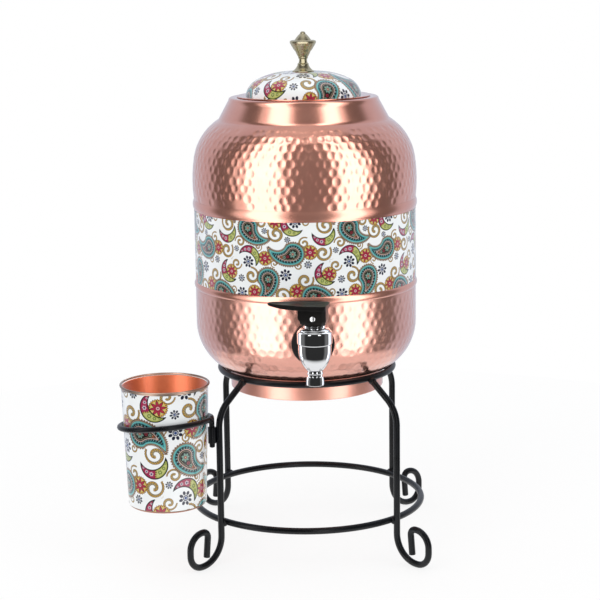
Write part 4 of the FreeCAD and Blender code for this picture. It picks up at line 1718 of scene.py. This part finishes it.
@dataclass(frozen=True)
class Lid:
    """Domed lid with a printed crown, a skirt inside the mouth and a turned knob."""

    low_z: float = 386.3
    top_z: float = 406.2
    sheet: float = 0.8
    print_scale: float = 1.4
    print_middle: tuple[float, float] = (50.0, 44.0)       # on the tile
    knob: Steps = (
        (2.0, 0), (8.6, 0), (9.0, 0.5, 0.1), (8.8, 1.2, 0.1), (7.9, 1.6, -0.05), (4.6, 6.2, -0.4),
        (4.7, 6.8, 0.12), (3.8, 7.6, 0.1), (3.35, 10.9, -0.15), (4.0, 11.7, 0.1), (4.0, 12.5, 0.12),
        (6.4, 17.2, 0.15), (8.9, 20.8, 0.2), (10.5, 23.5, 0.1), (11.0, 24.8, 0.15), (10.6, 26.0, 0.2),
        (9.4, 26.5, 0.08), (7.4, 26.4), (6.8, 26.7, -0.08), (6.5, 27.3, 0.05), (3.2, 31.2, 0.15),
        (2.3, 32.1, -0.05), (1.9, 33.0, 0.1), (1.0, 33.7, 0.12), (0, 33.8), (0, 7.5), (2.0, 7.5), (2.0, 0))

    def crown(self, spacing: float) -> np.ndarray:
        """Outside of the dome from the top of its flange to the flat under the knob."""
        foot = self.low_z + self.sheet
        return outline((48.6, foot), (37.6, foot + 13.7, 2.3), (9.0, self.top_z, 2.0), spacing=spacing)

    def dome(self) -> np.ndarray:
        """Outside of the lid: flange, dome and the flat with the screw's hole.

        Returns:
            Points of radius and height.
        """
        foot = self.low_z + self.sheet
        flange = [[radius, foot] for radius in (56.4, 54.0, 50.0)]
        return np.vstack([flange, self.crown(2.0), [[5.0, self.top_z], [2.2, self.top_z]]])

    def add_print(self, shop: Workshop) -> None:
        """Add the crown's print. Distances from its middle are kept along the dome.

        Args:
            shop: makes the pieces.
        """
        crown, columns = self.crown(1.0), 320
        run = shell_run(crown)
        reach = (crown[-1, 0] + run.max() - run)[:, None] / self.print_scale
        theta = np.arange(columns) * TAU / columns
        u, v = self.print_middle
        fields = shop.paisley.fields(reach * np.cos(theta) + u, reach * np.sin(theta) + v)
        shop.add("lid_print", lathe(shell(crown, -FILM), columns), Body.LID, Slot.PRINT, fields)

    def build(self, shop: Workshop) -> None:
        """Make the lid's pieces, and show the screw and its washer as they are.

        Args:
            shop: makes the pieces.
        """
        shop.add("lid_dome", lathe(shell(self.dome(), self.sheet), 256), Body.LID, Slot.COPPER)
        self.add_print(shop)
        skirt = tube_wall(49.5, 48.7, self.low_z - 10, self.low_z, 0.2)
        shop.add("lid_skirt", lathe(skirt, 192), Body.LID, Slot.COPPER)
        knob = lathe(outline(*raised(self.knob, self.top_z), spacing=0.6), 96)
        shop.add("finial", knob, Body.LID, Slot.BRASS)
        shop.keep(Slot.STEEL, "finial_washer", "finial_screw")


@dataclass(frozen=True)
class Tumbler:
    """Copper tumbler with a rolled lip and a printed wrap."""

    place: tuple[float, float, float] = (-118.277, -69.995, 0.0)
    base_z: float = 53.2
    high: float = 103.3
    low_r: float = 32.7
    high_r: float = 36.1
    sheet: float = 0.9
    edge: float = 2.0         # radius of the edge around the base
    lip: float = 1.8          # height of the rolled lip

    def wall(self) -> np.ndarray:
        """Outside of the wall under the print, from the middle of the base up.

        Returns:
            Array (n, 2) of radius and height.
        """
        low, high = self.low_r - FILM, self.high_r - FILM
        return outline((0, self.base_z), (low - self.edge, self.base_z),
                       (low, self.base_z + self.edge, QUARTER_BOW * self.edge),
                       (high, self.base_z + self.high - self.lip), spacing=4)

    def wrap(self) -> np.ndarray:
        """Closed profile of the print round the wall, which leaves a margin below the lip.

        Returns:
            Points of radius and height.
        """
        low, high = self.base_z + self.edge, self.base_z + self.high - self.lip - 1.1
        slope = (self.high_r - self.low_r) / (self.high - self.lip - self.edge)
        top = self.low_r + slope * (high - low)
        return outline((self.low_r, low), (top, high), (top - FILM, high), (self.low_r - FILM, low),
                       (self.low_r, low), spacing=1.0)

    def build(self, shop: Workshop) -> None:
        """Make the tumbler and its print. Neither shows in other pieces' reflections.

        Args:
            shop: makes the pieces.
        """
        lip_z = self.base_z + self.high - self.lip + 0.85
        cup = lathe(shell(self.wall(), self.sheet), 192) + torus(self.high_r + 0.3, 0.95, lip_z, 192, 20)
        made = (shop.add("tumbler_cup", cup.moved(*self.place), Body.TUMBLER, Slot.COPPER, look=Look.CUP_PAINTED_LIGHT),
                shop.add_printed("tumbler_wrap", self.wrap(), 240, 2, 30, Body.TUMBLER, self.place))
        for item in made:
            item.visible_glossy = False


@dataclass(frozen=True)
class CupPaintedLightFinish(MetalFinish):
    """Copper of the tumbler with painted light: a saturated orange inside for light bounced around in the
    cup, and a darker, greyer brown outside and on the lip for their dull reflection.
    """

    tumbler: Tumbler = Tumbler()
    # Painted shade: a darker, greyer copy of the copper for the dull reflection on the outside and the lip
    outside: tuple[float, float, float] = (0.31, 0.22, 0.17)

    def dressed(self, g: Graph, place: Value, colour: Value, rough: Value) -> tuple[Value, object, Value]:
        """Tell the outside by its distance from the tumbler's axis, less the wall's taper.

        Args:
            g: the material's node tree.
            place: where the point lies.
            colour: the inside's colour.
            rough: the outside's roughness.

        Returns:
            Colour, metal and roughness.
        """
        cup = self.tumbler
        x, y, z = g.split(place)
        right, ahead = x - cup.place[0] * MM, y - cup.place[1] * MM
        reach = g.math("SQRT", right * right + ahead * ahead)
        wall = reach - (z - cup.base_z * MM) * ((cup.high_r - cup.low_r) / cup.high)
        outer = wall.step_up((cup.low_r - 1.0) * MM, (cup.low_r - 0.4) * MM)
        # Painted light: the inside gets the saturated orange and a part-diffuse metal for bounce light, and
        # the outside the darker painted tone
        return g.mix(outer, colour, self.outside), outer * 0.2 + 0.8, rough + (1.0 - outer) * 0.12


# Studio

@dataclass(frozen=True)
class Lamp:
    """A soft area lamp. Sizes and places are in metres."""

    place: tuple[float, float, float]
    width: float
    height: float
    level: float              # brightness of its face, where 1 is white
    mirrored: bool = False    # True shows it in reflections

    def hang(self, name: str, target: tuple[float, float, float] = (0, 0, 0.22)) -> bpy.types.Object:
        """Put the lamp up.

        Args:
            name: the lamp's name.
            target: where its face looks.

        Returns:
            The lamp.
        """
        light = bpy.data.lights.new(name, "AREA")
        light.shape, light.size, light.size_y = "RECTANGLE", self.width, self.height
        light.energy = self.level * math.pi * self.width * self.height
        item = bpy.data.objects.new(name, light)
        back = unit(np.array(self.place) - np.array(target))
        right = unit(np.cross([0, 0, 1], back))
        turn = Matrix(np.column_stack([right, np.cross(back, right), back]).tolist())
        item.matrix_world = Matrix.Translation(self.place) @ turn.to_4x4()
        item.visible_glossy = self.mirrored
        item.visible_camera = False
        bpy.context.scene.collection.objects.link(item)
        return item


@dataclass(frozen=True)
class SoftBox:
    """A tall lamp that stands around the object. Azimuth 0 is the front, and lengths are in metres."""

    azimuth: float
    width: float              # degrees
    level: float
    low: float = -3.2
    high: float = 5.6
    away: float = 2.6

    def hang(self, name: str, receivers: bpy.types.Collection) -> None:
        """Put the box up.

        Args:
            name: the lamp's name.
            receivers: the pieces that it lights.
        """
        turn = math.radians(self.azimuth)
        middle = (self.low + self.high) / 2
        place = (self.away * math.sin(turn), -self.away * math.cos(turn), middle)
        wide = 2 * self.away * math.tan(math.radians(self.width / 2))
        lamp = Lamp(place, wide, self.high - self.low, self.level, True).hang(name, (0, 0, middle))
        lamp.light_linking.receiver_collection = receivers


@dataclass(frozen=True)
class LightGroup:
    """Soft boxes that light some pieces alone."""

    name: str
    nodes: tuple[str, ...]
    boxes: tuple[SoftBox, ...]

    def hang(self) -> None:
        """Put the boxes up and link them to the pieces."""
        receivers = bpy.data.collections.new(self.name)
        for item in list(bpy.data.objects):
            if item.name.removesuffix("_look") in self.nodes:
                receivers.objects.link(item)
        for k, box in enumerate(self.boxes):
            box.hang(f"{self.name}_{k}", receivers)


IRON_LIGHT = LightGroup(
    "iron_light",
    ("top_ring", "bottom_ring", *LEGS, "top_welds", "bottom_welds", "holder_socket", "holder_ring",
     "holder_weld"),
    (SoftBox(14, 10, 2.6, -0.6, 3.0), SoftBox(-62, 14, 2.2, -0.6, 3.0)))
CUP_LIGHT = LightGroup(
    "cup_light", ("tumbler_cup",), (SoftBox(-18, 50, 4.0, 2.2, 5.0), SoftBox(150, 60, 3.0, 1.6, 4.0)))
COPPER_LIGHT = LightGroup(
    "copper_light",
    ("lower_bowl", "middle_drum", "upper_body", "foot_ring", "lid_dome", "tumbler_cup", "lever_pin"),
    (SoftBox(-43, 36, 2.1, high=9), SoftBox(-46, 60, 0.9, high=9), SoftBox(49, 28, 2.1, high=9),
     SoftBox(50, 46, 0.9, high=9), SoftBox(6, 38, 0.24, high=9)))
KNOB_LIGHT = LightGroup("knob_light", ("finial",), (SoftBox(-4, 96, 1.5, high=3.0),))
CHROME_LIGHT = LightGroup(
    "chrome_light", ("tap_body", "tap_bonnet", "valve_stem"),
    (SoftBox(-112, 20, 1.5), SoftBox(112, 20, 1.3), SoftBox(-36, 17, 2.4, 0.9, 2.9),
     SoftBox(32, 17, 2.4, 0.9, 2.9)))


@dataclass(frozen=True)
class Studio:
    """Floor, lamps, surroundings and the camera that took the photo. Places are in metres."""

    front: tuple[float, float, float] = (0.03, 0.03, 0.03)      # of the room, as reflections show it
    side: tuple[float, float, float] = (0.18, 0.18, 0.18)
    back: tuple[float, float, float] = (0.62, 0.66, 0.76)
    top: tuple[float, float, float] = (0.72, 0.72, 0.72)
    even: tuple[float, float, float] = (0.93, 0.94, 0.95)       # light from all round
    floor_white: float = 0.8  # share of plain white in the floor, as the camera and reflections see it
    floor_r: float = 650.0    # millimetres
    lens: float = 106.14
    sensor: float = 36.0
    camera_place: tuple[float, float, float] = (-0.0052, -1.496, 0.4997)
    camera_down: float = 10.92      # degrees
    camera_roll: float = -0.75
    lamps: tuple[tuple[str, Lamp], ...] = (("key_lamp", Lamp((-0.9, -1.3, 1.5), 0.9, 0.9, 2.6)),
                                           ("fill_lamp", Lamp((1.3, -1.0, 0.9), 0.8, 1.0, 1.4)))
    groups: tuple[LightGroup, ...] = (IRON_LIGHT, CUP_LIGHT, COPPER_LIGHT, KNOB_LIGHT, CHROME_LIGHT)

    def surround(self) -> None:
        """Reflections see a room that is dark in front, grey at the sides and pale behind and above.

        Camera rays see plain white, and the light on the object comes evenly from all round.
        """
        world = bpy.data.worlds.new("studio")
        bpy.context.scene.world = world
        world.use_nodes = True
        world.node_tree.nodes.clear()
        g = Graph(world.node_tree)
        x, y, z = g.split(Value(g, g.node("TexCoord").outputs["Generated"]))
        azimuth = g.math("ARCTAN2", x, -y) * (180 / math.pi)
        level = g.math("ARCTAN2", z, g.math("SQRT", x * x + y * y)) * (180 / math.pi)
        flank = g.mix(azimuth.size().step_up(62, 80), self.front, self.side)
        ring = g.mix(azimuth.size().step_up(99, 115), flank, self.back)
        room = g.node("Background", None, {0: g.mix(level.step_up(56, 76), ring, self.top), 1: 1.0})
        plain = g.node("Background", None, {0: (*self.even, 1), 1: 1.0})
        white = g.node("Background", None, {0: (1, 1, 1, 1), 1: 1.0})
        path = g.node("LightPath").outputs
        lit = g.node("MixShader", None, {0: path["Is Glossy Ray"], 1: plain.outputs[0], 2: room.outputs[0]})
        seen = g.node("MixShader", None, {0: path["Is Camera Ray"], 1: lit.outputs[0],
                                          2: white.outputs[0]})
        g.node("OutputWorld", None, {0: seen.outputs[0]})

    def floor_material(self) -> bpy.types.Material:
        """White floor that keeps the object's shadow and shows no edge to the camera.

        Reflections see it close to the object. Further out they see past it, to the lamps and the room.

        Returns:
            The material.
        """
        made, g = blank("studio_floor")
        path = g.node("LightPath").outputs
        glossy = Value(g, path["Is Glossy Ray"])
        seen = Value(g, path["Is Camera Ray"]) + glossy + Value(g, path["Is Transmission Ray"])
        x, y, _ = g.split(g.position())
        far = g.math("SQRT", x * x + y * y).step_up(0.22, 0.36)
        diffuse = g.node("BsdfDiffuse", None, {0: (0.95, 0.95, 0.95, 1)})
        white = g.node("Emission", None, {0: (1, 1, 1, 1), 1: 1.0})
        near = g.node("MixShader", None, {0: seen.least(1.0) * self.floor_white, 1: diffuse.outputs[0],
                                          2: white.outputs[0]})
        clear = g.node("BsdfTransparent")
        whole = g.node("MixShader", None, {0: glossy * far, 1: near.outputs[0], 2: clear.outputs[0]})
        g.node("OutputMaterial", None, {0: whole.outputs[0]})
        return made

    def place_camera(self) -> None:
        """Put the camera where the photo was taken: it looks down and leans a little to the side."""
        lens = bpy.data.cameras.new("camera")
        lens.lens, lens.sensor_width = self.lens, self.sensor
        camera = bpy.data.objects.new("camera", lens)
        down, roll = math.radians(self.camera_down), math.radians(self.camera_roll)
        across, upward = np.array([1.0, 0, 0]), np.array([0, math.sin(down), math.cos(down)])
        right = across * math.cos(roll) + upward * math.sin(roll)
        up = upward * math.cos(roll) - across * math.sin(roll)
        turn = Matrix(np.column_stack([right, up, np.cross(right, up)]).tolist())
        camera.matrix_world = Matrix.Translation(self.camera_place) @ turn.to_4x4()
        bpy.context.scene.collection.objects.link(camera)
        bpy.context.scene.camera = camera

    def build(self) -> None:
        """Set the stage around the pieces, which are there already."""
        edge = outline((0, -2), (self.floor_r, -2), (self.floor_r, 0), (0, 0), spacing=160)
        disc = mesh_object("floor", lathe(edge, 96))
        disc.data.materials.append(self.floor_material())
        self.surround()
        for name, lamp in self.lamps:
            lamp.hang(name)
        for group in self.groups:
            group.hang()
        self.place_camera()
        bpy.context.scene.view_settings.view_transform = "Standard"


# Finishes and assembly

BRIGHT, WARM = (0.79, 0.345, 0.255), (0.84, 0.39, 0.29)
FINISHES = {
    Slot.IRON: PaintFinish((0.0025, 0.003, 0.004), (0.005, 0.006, 0.008), 0.3, 900, 0.03, 0.33),
    Slot.HAMMERED: MetalFinish(BRIGHT, WARM, 0.20, 0.08, 700, 0.003, lacquer=1.0, marks=0.13),
    Slot.COPPER: MetalFinish(BRIGHT, WARM, 0.22, 0.08, 500, 0.001, 0.002, 1.0),
    # Paler, pinker copy of the hammered copper: painted light for the floor's bright reflection on the low
    # bowl. Its higher roughness is real.
    Look.BOWL: MetalFinish((0.78, 0.37, 0.29), (0.83, 0.415, 0.325), 0.25, 0.08, 700, 0.003, lacquer=1.0,
                           marks=0.13),
    Look.FOOT: MetalFinish((0.82, 0.38, 0.29), (0.86, 0.42, 0.33), 0.42, 0.10, 500, 0.001, 0.002, 1.0),
    # Tumbler copper: its inside colour is painted bounce light, and its outside colour is a painted dull
    # reflection
    Look.CUP_PAINTED_LIGHT: CupPaintedLightFinish((0.575, 0.13, 0.052), (0.66, 0.18, 0.08), 0.30, 0.08, 500, 0.001, 0.002, 0.3),
    Slot.CHROME: MetalFinish((0.80, 0.81, 0.83), (0.86, 0.86, 0.87), 0.045, 0.03, 400, 0.0005),
    Slot.RUBBER: PaintFinish((0.012, 0.012, 0.012), (0.022, 0.022, 0.022), 0.62, 1500, 0.03),
    Slot.STEEL: MetalFinish((0.60, 0.60, 0.61), (0.68, 0.68, 0.68), 0.20, 0.12, 900, 0.003),
    Slot.BRASS: MetalFinish((0.54, 0.48, 0.31), (0.64, 0.57, 0.40), 0.26, 0.08, 600, 0.0006, 0.0006),
    Slot.PLASTIC: PaintFinish((0.007, 0.006, 0.006), (0.016, 0.014, 0.012), 0.36, 420, 0.07, 0.6),
    Slot.PRINT: PrintFinish(),
}


def main() -> None:
    """Build the sub-assemblies in order and then the studio."""
    logging.basicConfig(level=logging.INFO, format="%(name)s: %(message)s")
    shop = Workshop({key: finish.material(key.value) for key, finish in FINISHES.items()}, Paisley())
    for assembly in (Stand(), Holder(), Vessel(), Tap(), Lever(), Lid(), Tumbler()):
        assembly.build(shop)
    Studio().build()


if __name__ == "__main__":
    main()
